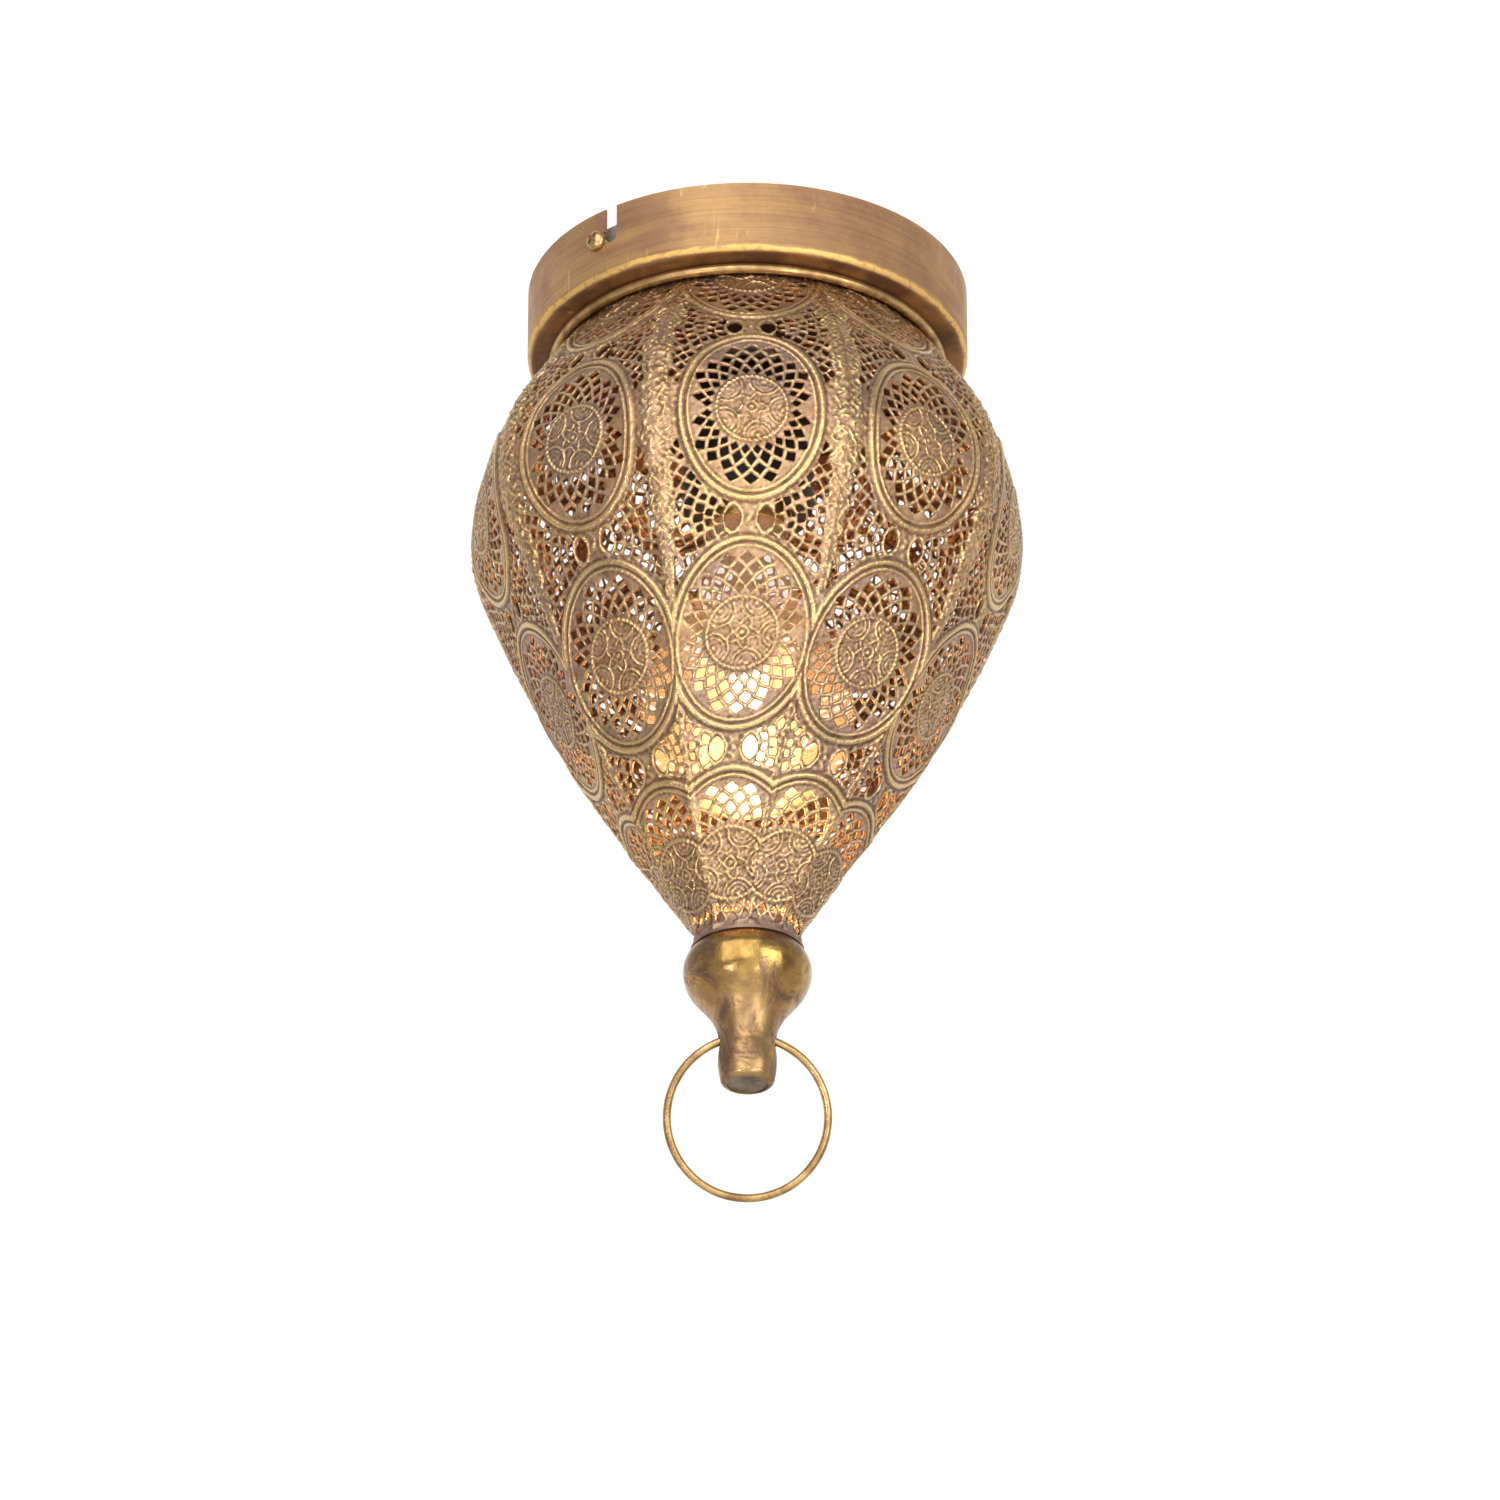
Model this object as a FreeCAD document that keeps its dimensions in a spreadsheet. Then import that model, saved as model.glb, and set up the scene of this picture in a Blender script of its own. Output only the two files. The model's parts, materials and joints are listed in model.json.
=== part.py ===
import math
import os
import re

import FreeCAD
import Part
import Sketcher

# A flush ceiling lamp in pierced brass: a round canopy held to a two-bar ceiling bracket by a bayonet
# and two side screws, a pear-shaped shade of nine pressed gores, an onion finial and a wire pull ring.
# Millimetres, +Z up. The origin is the middle of the ceiling face, and the front gore faces -Y.

Vector = FreeCAD.Vector
Placement = FreeCAD.Placement
Rotation = FreeCAD.Rotation
UP = Vector(0, 0, 1)

doc = FreeCAD.newDocument("ceiling_lamp")

# ---------------------------------------------------------------- driving dimensions

DIMENSIONS = [
    # ceiling bracket
    ("bar_width", 18, "width of both bracket bars"),
    ("bar_thick", 2, "thickness of both bracket bars"),
    ("foot_end", 50, "half length of the ceiling bar"),
    ("foot_start", 29, "where the ceiling bar's foot starts"),
    ("bridge_end", 23, "half length of the ceiling bar's lowered bridge"),
    ("bridge_drop", 16, "ceiling to the top of the bridge"),
    ("slot_pitch", 79, "distance between the two ceiling slots"),
    ("slot_width", 4.6, "width of a ceiling slot"),
    ("slot_length", 14, "length of a ceiling slot, end to end"),
    ("ear_outer", 67, "middle of the lamp to the ear's outer face"),
    ("ear_top", 5, "ceiling to the top of an ear"),
    ("screw_drop", 10.4, "ceiling to the side screws"),
    ("screw_clear", 2.05, "radius of the side screws' clearance holes"),
    ("ear_nut_corner", 4, "ear nut, middle to corner"),
    ("ear_nut_height", 3.2, "ear nut height"),
    # heat shield
    ("shield_radius", 66, "heat shield under the lower bar"),
    ("shield_thick", 0.8, "thickness of the heat shield"),
    # nipple
    ("nipple_radius", 5, "M10 hollow nipple"),
    ("nipple_bore", 4, "bore radius of the nipple"),
    ("nipple_top", 11, "ceiling to the nipple's upper end"),
    ("nut_height", 4, "M10 thin nut"),
    ("nut_corner", 8.1, "M10 thin nut, middle to corner"),
    ("washer_radius", 9, "washer on the nipple"),
    ("washer_thick", 1, "washer thickness"),
    ("holder_grip", 8, "length of the nipple inside the holder"),
    # terminal block and leads
    ("block_start", 29, "middle of the lamp to the block's near face"),
    ("block_depth", 16, "block, along the bar"),
    ("block_width", 30, "block, across the bar"),
    ("block_height", 12, "block height"),
    ("pole_pitch", 9, "distance between the block's poles"),
    ("pole_bore", 2.6, "radius of the block's bores"),
    ("sleeve_bore", 1.6, "radius inside a terminal sleeve"),
    ("clamp_radius", 1.5, "clamp screw"),
    ("clamp_length", 3, "clamp screw length"),
    ("fixing_radius", 1.25, "screw that holds the block"),
    ("fixing_head", 1.8, "head radius of that screw"),
    ("lead_radius", 1, "insulated lead"),
    ("lug_reach", 36, "middle of the lamp to the earth screw"),
    ("lug_radius", 4.2, "earth lug's eye, outside"),
    ("lug_thick", 0.8, "earth lug's sheet"),
    ("lug_barrel", 1.6, "radius of the lug's crimp barrel"),
    ("earth_radius", 2, "M4 earth screw"),
    ("earth_head", 3.6, "head radius of the earth screw"),
    # canopy and shade rim
    ("canopy_radius", 70, "canopy, outside"),
    ("canopy_depth", 24.6, "canopy height"),
    ("canopy_edge", 2.6, "bend radius of the canopy's lower edge, outside"),
    ("sheet", 0.8, "sheet metal thickness"),
    ("mouth_radius", 58.2, "hole in the canopy's floor"),
    ("rivet_radius", 1.2, "rivet shank"),
    ("rivet_head", 1.8, "rivet head radius"),
    ("rivet_inset", 5.8, "canopy's wall to the rivets"),
    ("bayonet_width", 4.4, "width of the bayonet slots"),
    ("bayonet_turn", 4.5, "turn that frees the canopy, in degrees"),
    ("screw_azimuth", 42.2, "side screw, in degrees from the front towards -X"),
    ("side_screw_radius", 2, "M4 side screw"),
    ("side_screw_length", 9.8, "side screw below its head"),
    ("side_head_radius", 3.4, "pan head radius"),
    ("side_head_height", 2.5, "pan head height"),
    ("side_head_gap", 0.3, "canopy's wall to the head"),
    ("recess_length", 4.2, "cross recess, tip to tip"),
    ("recess_width", 0.9, "cross recess, across one arm"),
    ("recess_depth", 1.2, "depth of the cross recess"),
    ("bead_radius", 61.9, "rim bead, middle of its wire"),
    ("bead_wire", 1.6, "radius of the rim bead's wire"),
    ("bead_drop", 26.3, "ceiling to the rim bead"),
    # gore profile on its middle line, from the rim to the neck
    ("gore_axis", 85, "each gore is turned about an axis this far behind the lamp's"),
    ("gore_sector", 39.9, "angle that one gore fills, in degrees"),
    ("rim_radius", 59.8, "gore at the rim"),
    ("rim_drop", 27.9, "ceiling to the gore's upper edge"),
    ("shoulder_radius", 75.8, "where the straight rim part ends"),
    ("shoulder_drop", 52, "ceiling to the shoulder"),
    ("belly_radius", 86.3, "widest part"),
    ("belly_drop", 86, "ceiling to the widest part"),
    ("hip_radius", 82.7, "where the belly's bend ends"),
    ("hip_drop", 104.7, "ceiling to the hip"),
    ("shin_radius", 37.8, "where the long flank becomes straight"),
    ("shin_drop", 194.8, "ceiling to that place"),
    ("ankle_radius", 18.5, "where the straight flank ends"),
    ("ankle_drop", 224.4, "ceiling to that place"),
    ("neck_radius", 16.4, "gore at its lower edge"),
    ("neck_drop", 231.4, "ceiling to the plain neck"),
    ("shade_drop", 233.6, "ceiling to the gore's lower edge"),
    ("shoulder_bend", 60.3, "bend radius above the widest part"),
    ("belly_bend", 50.4, "bend radius below the widest part"),
    ("flank_bend", 500, "bend radius of the long flank"),
    ("ankle_bend", 12.8, "bend radius into the neck"),
    # finial and ring
    ("finial_mouth", 16.8, "finial at its upper edge"),
    ("finial_top", 234.6, "ceiling to the finial's upper edge"),
    ("onion_radius", 19.8, "finial at its widest"),
    ("onion_drop", 241.4, "ceiling to the finial's widest part"),
    ("onion_low_radius", 16.8, "where the onion's round turns into its straight cone"),
    ("onion_low_drop", 249.9, "ceiling to that place"),
    ("throat_radius", 13, "where the cone ends"),
    ("throat_drop", 254.5, "ceiling to that place"),
    ("mouth_bend", 9.2, "bend radius above the finial's widest part"),
    ("onion_bend", 13.6, "bend radius below it"),
    ("throat_bend", 19.6, "bend radius into the waist"),
    ("barrel_bend", 27.5, "bend radius of the barrel under the waist"),
    ("barrel_round", 2.2, "bend radius of the barrel's end"),
    ("waist_radius", 8.6, "finial at its narrowest"),
    ("waist_drop", 267.2, "ceiling to the finial's narrowest part"),
    ("finial_end", 279.8, "ceiling to the finial's end"),
    ("finial_wall", 1.2, "finial wall"),
    ("ring_hole", 2, "radius of the ring's holes in the finial"),
    ("ring_drop", 265.2, "ceiling to the ring's holes"),
    ("ring_radius", 24.65, "ring, middle of its wire"),
    ("ring_wire", 1.25, "radius of the ring's wire"),
    ("ring_tilt", 26.1, "the ring's swing back from straight down, in degrees"),
    # lamp holder and bulb
    ("holder_radius", 20.5, "lamp holder, outside"),
    ("holder_top", 26, "ceiling to the holder's cap"),
    ("holder_split", 50, "ceiling to the joint of cap and body"),
    ("holder_mouth", 80, "ceiling to the holder's mouth"),
    ("shell_bore", 13.4, "screw shell of the holder, inside"),
    ("shell_sheet", 0.6, "screw shell's sheet"),
    ("cap_radius", 13, "screw cap of the bulb"),
    ("bulb_radius", 33.5, "bulb at its widest"),
    ("bulb_bottom", 184, "ceiling to the bulb's end"),
    ("bulb_join_radius", 26.84, "where the bulb's ball meets its neck"),
    ("bulb_join_drop", 130.45, "ceiling to that place"),
    ("bulb_neck", 12.4, "radius of the bulb's neck"),
    ("bulb_neck_bend", 72.6, "bend radius of the bulb's neck"),
    ("glass", 0.9, "glass thickness"),
    ("stem_radius", 3.5, "glass stem"),
    ("stem_length", 32, "glass stem below the holder's mouth"),
    ("filament_drop", 140, "ceiling to the filament"),
    ("filament_length", 25, "filament, end to end"),
    ("filament_radius", 0.6, "coiled filament, outside"),
    ("support_radius", 0.4, "filament support wire"),
]
GORES = 9

dims = doc.addObject("Spreadsheet::Sheet", "Dims")
for row, (alias, value, note) in enumerate(DIMENSIONS, start=1):
    dims.set(f"A{row}", note)
    dims.set(f"B{row}", str(value))
    dims.setAlias(f"B{row}", alias)
doc.recompute()


def bound(expression):
    """A size written with the sheet's names, as an expression on the sheet."""
    return re.sub(r"[a-z][a-z_]*", lambda word: "Dims." + word.group(0), expression)


def size(expression):
    """The number that a size written with the sheet's names stands for."""
    return float(probe.evalExpression(bound(expression)))


def bind(thing, **sizes):
    """Tie properties of an object to the sheet."""
    for name, expression in sizes.items():
        thing.setExpression(name, bound(expression))
    return thing


probe = doc.addObject("Part::Vertex", "probe")

# ---------------------------------------------------------------- helpers


def arc_between(start, end, bend):
    """An arc of radius |bend| from start to end: its centre lies to the left when bend is positive."""
    chord = end - start
    across = UP.cross(chord).normalize()
    depth = math.sqrt(bend * bend - chord.Length ** 2 / 4)
    centre = (start + end) / 2 + across * math.copysign(depth, bend)
    first, last = (start, end) if bend > 0 else (end, start)
    angles = [math.atan2(point.y - centre.y, point.x - centre.x) for point in (first, last)]
    return Part.ArcOfCircle(Part.Circle(centre, UP, abs(bend)), angles[0], angles[1])


def outline(sketch, corners):
    """Draw a closed outline. Each corner is (across, up), or (across, up, bend) where an arc follows."""
    count = len(corners)
    points = [Vector(size(corner[0]), size(corner[1]), 0) for corner in corners]
    starts, ends = [], []
    for index, corner in enumerate(corners):
        start, end = points[index], points[(index + 1) % count]
        if len(corner) == 2:
            sketch.addGeometry(Part.LineSegment(start, end), False)
        else:
            bend = size(corner[2])
            edge = sketch.addGeometry(arc_between(start, end, bend), False)
            sketch.addConstraint(Sketcher.Constraint("Radius", edge, abs(bend)))
            name = f"bend_{index}"
            sketch.renameConstraint(sketch.ConstraintCount - 1, name)
            sketch.setExpression(f"Constraints.{name}", bound(corner[2].lstrip("-")))
        turned_over = len(corner) == 3 and size(corner[2]) < 0
        starts.append(2 if turned_over else 1)
        ends.append(1 if turned_over else 2)
    first_edge = sketch.GeometryCount - count
    for index, corner in enumerate(corners):
        edge = first_edge + index
        following = first_edge + (index + 1) % count
        link = ("Coincident", edge, ends[index], following, starts[(index + 1) % count])
        sketch.addConstraint(Sketcher.Constraint(*link))
        for kind, axis, expression, value in (
            ("DistanceX", -2, corner[0], points[index].x),
            ("DistanceY", -1, corner[1], points[index].y),
        ):
            if expression == "0":
                sketch.addConstraint(Sketcher.Constraint("PointOnObject", edge, starts[index], axis))
                continue
            sketch.addConstraint(Sketcher.Constraint(kind, -1, 1, edge, starts[index], value))
            name = f"{kind}_{edge}"
            sketch.renameConstraint(sketch.ConstraintCount - 1, name)
            sketch.setExpression(f"Constraints.{name}", bound(expression))


def sketch_on(body, name, role):
    """A sketch on one of the body's own origin planes."""
    sketch = body.newObject("Sketcher::SketchObject", name)
    plane = [feature for feature in body.Origin.OriginFeatures if feature.Role == role][0]
    sketch.AttachmentSupport = [(plane, "")]
    sketch.MapMode = "FlatFace"
    return sketch


def turned(name, corners):
    """A body turned about the lamp's axis from an outline in radius and height."""
    body = doc.addObject("PartDesign::Body", name)
    sketch = sketch_on(body, name + "_outline", "XZ_Plane")
    outline(sketch, corners)
    turn = body.newObject("PartDesign::Revolution", name + "_turn")
    turn.Profile = sketch
    turn.ReferenceAxis = (sketch, ["V_Axis"])
    turn.Angle = 360
    body.Tip = turn
    return body


def bar(name, corners, width):
    """A bent bar: its side outline padded both ways from the lamp's middle plane."""
    body = doc.addObject("PartDesign::Body", name)
    sketch = sketch_on(body, name + "_side", "XZ_Plane")
    outline(sketch, corners)
    pad = body.newObject("PartDesign::Pad", name + "_pad")
    pad.Profile = sketch
    pad.Midplane = True
    bind(pad, Length=width)
    body.Tip = pad
    return body


def rod(name, radius, length, base, direction=UP):
    """A cylinder from a point along a direction."""
    cylinder = bind(doc.addObject("Part::Cylinder", name), Radius=radius, Height=length)
    cylinder.Placement = Placement(base, Rotation(UP, direction))
    return cylinder


def block(name, length, width, height, middle, turn=0):
    """A box centred across and along, standing on the given point and turned about +Z."""
    box = bind(doc.addObject("Part::Box", name), Length=length, Width=width, Height=height)
    spin = Rotation(UP, turn)
    box.Placement = Placement(middle - spin.multVec(Vector(size(length) / 2, size(width) / 2, 0)), spin)
    return box


def cut(name, base, *tools):
    """One solid less one or more others."""
    result = doc.addObject("Part::Cut", name)
    result.Base = base
    result.Tool = tools[0] if len(tools) == 1 else group(name + "_cutters", *tools)
    return result


def group(name, *members):
    """Separate solids that share one node."""
    result = doc.addObject("Part::Compound", name)
    result.Links = list(members)
    return result


def hex_nut(name, corner, bore, height, base, direction=UP):
    """A plain hexagon nut."""
    prism = bind(doc.addObject("Part::Prism", name + "_hexagon"), Circumradius=corner, Height=height)
    prism.Polygon = 6
    prism.Placement = Placement(base, Rotation(UP, direction))
    return cut(name, prism, rod(name + "_bore", bore, height, base, direction))


def route_wire(points):
    """Straight runs joined by tangent arcs, each as large as 0.45 of its shorter run allows."""
    edges = []
    last = points[0]
    for before, corner, after in zip(points, points[1:], points[2:]):
        incoming = (corner - before).normalize()
        outgoing = (after - corner).normalize()
        half_turn = incoming.getAngle(outgoing) / 2
        reach = 0.45 * min((corner - before).Length, (after - corner).Length)
        start, end = corner - incoming * reach, corner + outgoing * reach
        bulge = (outgoing - incoming).normalize()
        radius = reach / math.tan(half_turn)
        middle = corner + bulge * (radius / math.cos(half_turn) - radius)
        edges.append(Part.LineSegment(last, start).toShape())
        edges.append(Part.Arc(start, middle, end).toShape())
        last = end
    edges.append(Part.LineSegment(last, points[-1]).toShape())
    return Part.Wire(edges)


def lead(name, radius, points):
    """An insulated lead swept along its route."""
    spine = doc.addObject("Part::Feature", name + "_route")
    spine.Shape = route_wire(points)
    circle = bind(doc.addObject("Part::Circle", name + "_section"), Radius=radius)
    circle.Placement = Placement(points[0], Rotation(UP, points[1] - points[0]))
    tube = doc.addObject("Part::Sweep", name)
    tube.Sections = [circle]
    tube.Spine = (spine, [f"Edge{number}" for number in range(1, len(spine.Shape.Edges) + 1)])
    tube.Solid = True
    tube.Frenet = False
    return tube


# Directions on the lower bracket bar: along it towards the back right, and across it to the left.
azimuth = math.radians(size("screw_azimuth"))
along = Vector(math.sin(azimuth), math.cos(azimuth), 0)
sideways = UP.cross(along)
bar_turn = math.degrees(math.atan2(along.y, along.x))


def on_bar(reach, offset, height):
    """A point given along and across the lower bar."""
    return along * reach + sideways * offset + UP * height


def placed_on_bar(body):
    """Turn a body that was drawn along X onto the lower bar."""
    body.Placement = Placement(Vector(), Rotation(UP, bar_turn))
    return body


# ---------------------------------------------------------------- ceiling bracket

ceiling_bar_blank = bar("ceiling_bar_blank", [
    ("foot_start", "0"),
    ("foot_end", "0"),
    ("foot_end", "-bar_thick"),
    ("foot_start + bar_thick", "-bar_thick"),
    ("bridge_end + bar_thick", "-bridge_drop - bar_thick"),
    ("-bridge_end - bar_thick", "-bridge_drop - bar_thick"),
    ("-foot_start - bar_thick", "-bar_thick"),
    ("-foot_end", "-bar_thick"),
    ("-foot_end", "0"),
    ("-foot_start", "0"),
    ("-bridge_end", "-bridge_drop"),
    ("bridge_end", "-bridge_drop"),
], "bar_width")
slot_cutters = []
for side in (-1, 1):
    middle = Vector(side * size("slot_pitch") / 2, 0, -5)
    straight = "slot_length - slot_width"
    slot_cutters.append(block(f"slot_middle{side}", straight, "slot_width", "10", middle))
    for end in (-1, 1):
        shift = Vector(end * size(straight) / 2, 0, 0)
        slot_cutters.append(rod(f"slot_end{side}{end}", "slot_width / 2", "10", middle + shift))
bridge_hole = rod("bridge_hole", "nipple_radius", "10", Vector(0, 0, -size("bridge_drop") - 5))
ceiling_bar = cut("ceiling_bar", ceiling_bar_blank, bridge_hole, *slot_cutters)

BAR_TOP = size("bridge_drop + bar_thick")
BAR_BOTTOM = size("bridge_drop + 2 * bar_thick")
canopy_bar_blank = placed_on_bar(bar("canopy_bar_blank", [
    ("ear_outer", "-ear_top"),
    ("ear_outer", "-bridge_drop - bar_thick", "-bar_thick"),
    ("ear_outer - bar_thick", "-bridge_drop - 2 * bar_thick"),
    ("bar_thick - ear_outer", "-bridge_drop - 2 * bar_thick", "-bar_thick"),
    ("-ear_outer", "-bridge_drop - bar_thick"),
    ("-ear_outer", "-ear_top"),
    ("bar_thick - ear_outer", "-ear_top"),
    ("bar_thick - ear_outer", "-bridge_drop - bar_thick"),
    ("ear_outer - bar_thick", "-bridge_drop - bar_thick"),
    ("ear_outer - bar_thick", "-ear_top"),
], "bar_width"))
screw_reach = size("ear_outer")
ear_holes = rod("ear_holes", "screw_clear", "2 * ear_outer + 10",
                on_bar(-screw_reach - 5, 0, -size("screw_drop")), along)
bar_hole = rod("bar_hole", "nipple_radius", "10", Vector(0, 0, -BAR_BOTTOM - 4))
earth_hole = rod("earth_hole", "earth_radius", "10", on_bar(-size("lug_reach"), 0, -BAR_BOTTOM - 4))
canopy_bar = cut("canopy_bar", canopy_bar_blank, ear_holes, bar_hole, earth_hole)

# A fibre disc under the lower bar keeps the lamp's heat from the wiring and closes the canopy's mouth.
shield_bottom = Vector(0, 0, -BAR_BOTTOM - size("shield_thick"))
heat_shield = cut("heat_shield",
                  rod("shield_disc", "shield_radius", "shield_thick", shield_bottom),
                  rod("shield_hole", "nipple_radius", "shield_thick", shield_bottom),
                  rod("shield_screw_hole", "earth_radius + 0.4", "shield_thick",
                      shield_bottom - along * size("lug_reach")))
WASHER_BOTTOM = BAR_BOTTOM + size("shield_thick + washer_thick")

ear_nuts = group("ear_nuts", *[
    hex_nut(f"ear_nut{side}", "ear_nut_corner", "screw_clear", "ear_nut_height",
            on_bar(side * (screw_reach - size("bar_thick")), 0, -size("screw_drop")), along * -side)
    for side in (-1, 1)
])

nipple_blank = rod("nipple_blank", "nipple_radius", "holder_top + holder_grip - nipple_top",
                   Vector(0, 0, -size("holder_top + holder_grip")))
nipple = cut("nipple", nipple_blank,
             rod("nipple_hollow", "nipple_bore", "60", Vector(0, 0, -size("holder_top") - 20)))
nipple_nuts = group(
    "nipple_nuts",
    hex_nut("upper_nut", "nut_corner", "nipple_radius", "nut_height", Vector(0, 0, -size("bridge_drop"))),
    hex_nut("lower_nut", "nut_corner", "nipple_radius", "nut_height",
            Vector(0, 0, -WASHER_BOTTOM - size("nut_height"))),
)
nipple_washer = cut("nipple_washer",
                    rod("washer_disc", "washer_radius", "washer_thick", Vector(0, 0, -WASHER_BOTTOM)),
                    rod("washer_hole", "nipple_radius", "washer_thick", Vector(0, 0, -WASHER_BOTTOM)))

# ---------------------------------------------------------------- earth point, terminal block, leads

lug_spot = on_bar(-size("lug_reach"), 0, -BAR_TOP)
BARREL_START = 4.6
BARREL_LENGTH = 5
barrel_lift = UP * size("lug_barrel")
lug_plate = rod("lug_plate", "lug_radius", "lug_thick", lug_spot)
lug_strap = block("lug_strap", "6", "2.4", "lug_thick", lug_spot + along * 4.4, bar_turn)
lug_barrel = rod("lug_barrel", "lug_barrel", str(BARREL_LENGTH),
                 lug_spot + along * BARREL_START + barrel_lift, along)
lug_solid = doc.addObject("Part::MultiFuse", "lug_solid")
lug_solid.Shapes = [lug_plate, lug_strap, lug_barrel]
earth_lug = cut("earth_lug", lug_solid, rod("lug_hole", "earth_radius", "4", lug_spot - UP))
earth_screw = doc.addObject("Part::MultiFuse", "earth_screw")
earth_screw.Shapes = [
    rod("earth_screw_head", "earth_head", "2.4", lug_spot + UP * size("lug_thick")),
    rod("earth_screw_shank", "earth_radius", "6 + lug_thick", lug_spot - UP * 6),
]

block_middle = on_bar(size("block_start + block_depth / 2"), 0, -BAR_TOP)
block_solid = block("block_solid", "block_depth", "block_width", "block_height", block_middle, bar_turn)
POLES = (-1, 0, 1)
POLE_HEIGHT = 6
SLEEVE_INSET = 1
SCREW_SEATS = (4, 12)
sleeve_length = f"block_depth - {2 * SLEEVE_INSET}"
block_cutters, sleeves, clamp_screws = [], [], []
for pole in POLES:
    spot = on_bar(size("block_start"), pole * size("pole_pitch"), POLE_HEIGHT - BAR_TOP)
    block_cutters.append(rod(f"pole_bore{pole}", "pole_bore", "block_depth", spot, along))
    inner = spot + along * SLEEVE_INSET
    sleeves.append(cut(f"sleeve{pole}",
                       rod(f"sleeve_tube{pole}", "pole_bore", sleeve_length, inner, along),
                       rod(f"sleeve_hole{pole}", "sleeve_bore", sleeve_length, inner, along)))
    for seat in SCREW_SEATS:
        base = spot + along * seat + UP * size("pole_bore")
        block_cutters.append(rod(f"screw_well{pole}_{seat}", "clamp_radius", "10", base - UP * 2))
        clamp_screws.append(rod(f"clamp_screw{pole}_{seat}", "clamp_radius", "clamp_length", base))
fixing_spot = block_middle + sideways * (size("pole_pitch") / 2)
block_cutters.append(rod("fixing_hole", "fixing_radius", "30", fixing_spot - UP))
block_screw = doc.addObject("Part::MultiFuse", "block_screw")
block_screw.Shapes = [
    rod("block_screw_head", "fixing_head", "1.2", fixing_spot + UP * size("block_height")),
    rod("block_screw_shank", "fixing_radius", "block_height", fixing_spot),
]
terminal_block = cut("terminal_block", block_solid, *block_cutters)
terminal_sleeves = group("terminal_sleeves", *sleeves)
terminal_screws = group("terminal_screws", *clamp_screws)

# Each lead starts inside its sleeve and runs straight out of the block. The live and neutral leads bend
# over the nipple's upper end, run down inside it and part to the holder's terminals.
POLE_Z = POLE_HEIGHT - BAR_TOP
IN_SLEEVE = size("block_start") + 3
OUT_OF_BLOCK = size("block_start") - 3
RISE_Z = -6.5
OVER_NIPPLE_Z = -5.5
UNDER_NIPPLE_Z = -37
PARTED_Z = -41.5
NIPPLE_OFFSET = 1.4
TERMINAL_REACH = 8
TERMINAL_HEIGHT = 5
TERMINAL_Z = TERMINAL_HEIGHT - size("holder_split")
pole_pitch = size("pole_pitch")
lead_live = lead("lead_live", "lead_radius", [
    on_bar(IN_SLEEVE, 0, POLE_Z),
    on_bar(OUT_OF_BLOCK, 0, POLE_Z),
    on_bar(17, 0.8, RISE_Z),
    on_bar(0, NIPPLE_OFFSET, OVER_NIPPLE_Z),
    on_bar(0, NIPPLE_OFFSET, UNDER_NIPPLE_Z),
    on_bar(0, TERMINAL_REACH, PARTED_Z),
    on_bar(0, TERMINAL_REACH, TERMINAL_Z),
])
lead_neutral = lead("lead_neutral", "lead_radius", [
    on_bar(IN_SLEEVE, -pole_pitch, POLE_Z),
    on_bar(OUT_OF_BLOCK, -pole_pitch, POLE_Z),
    on_bar(16, -5.5, RISE_Z),
    on_bar(0, -NIPPLE_OFFSET, OVER_NIPPLE_Z),
    on_bar(0, -NIPPLE_OFFSET, UNDER_NIPPLE_Z),
    on_bar(0, -TERMINAL_REACH, PARTED_Z),
    on_bar(0, -TERMINAL_REACH, TERMINAL_Z),
])
# The earth lead dips under them and ends in the lug's barrel.
EARTH_DIP_Z = -9.5
BARREL_Z = size("lug_barrel") - BAR_TOP
lead_earth = lead("lead_earth", "lead_radius", [
    on_bar(IN_SLEEVE, pole_pitch, POLE_Z),
    on_bar(OUT_OF_BLOCK - 1, pole_pitch, POLE_Z),
    on_bar(12, 8, EARTH_DIP_Z),
    on_bar(-9, 6, EARTH_DIP_Z),
    on_bar(-21, 0, BARREL_Z),
    on_bar(BARREL_START + BARREL_LENGTH - size("lug_reach"), 0, BARREL_Z),
])

# ---------------------------------------------------------------- lamp holder

holder_cap = turned("holder_cap", [
    ("nipple_radius", "-holder_top"),
    ("nipple_radius + 3", "-holder_top"),
    ("nipple_radius + 3", "-holder_top - 3"),
    ("holder_radius - 6", "-holder_top - 5", "-5"),
    ("holder_radius - 1", "-holder_top - 10"),
    ("holder_radius - 1", "-holder_split"),
    ("holder_radius - 3", "-holder_split"),
    ("holder_radius - 3", "-holder_top - 11"),
    ("holder_radius - 6", "-holder_top - 8"),
    ("nipple_radius", "-holder_top - 8"),
])
HOLDER_FLOOR = "-holder_split - 7"
holder_body = turned("holder_body", [
    ("0", "-holder_split"),
    ("holder_radius - 1", "-holder_split"),
    ("holder_radius - 1", "-holder_split - 4"),
    ("holder_radius", "-holder_split - 5"),
    ("holder_radius", "-holder_mouth + 2", "-2"),
    ("holder_radius - 2", "-holder_mouth"),
    ("shell_bore + shell_sheet", "-holder_mouth"),
    ("shell_bore + shell_sheet", HOLDER_FLOOR),
    ("0", HOLDER_FLOOR),
])
holder_shell = turned("holder_shell", [
    ("shell_bore", "-holder_mouth + 1"),
    ("shell_bore + shell_sheet", "-holder_mouth + 1"),
    ("shell_bore + shell_sheet", "-holder_split - 9"),
    ("shell_bore", "-holder_split - 9"),
])
holder_contact = rod("holder_contact", "4", "1.2", Vector(0, 0, -size("holder_split + 7") - 1.2))
holder_terminals = group("holder_terminals", *[
    block(f"holder_terminal{side}", "6", "5", str(TERMINAL_HEIGHT),
          on_bar(0, TERMINAL_REACH * side, -size("holder_split")), bar_turn)
    for side in (-1, 1)
])

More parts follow.
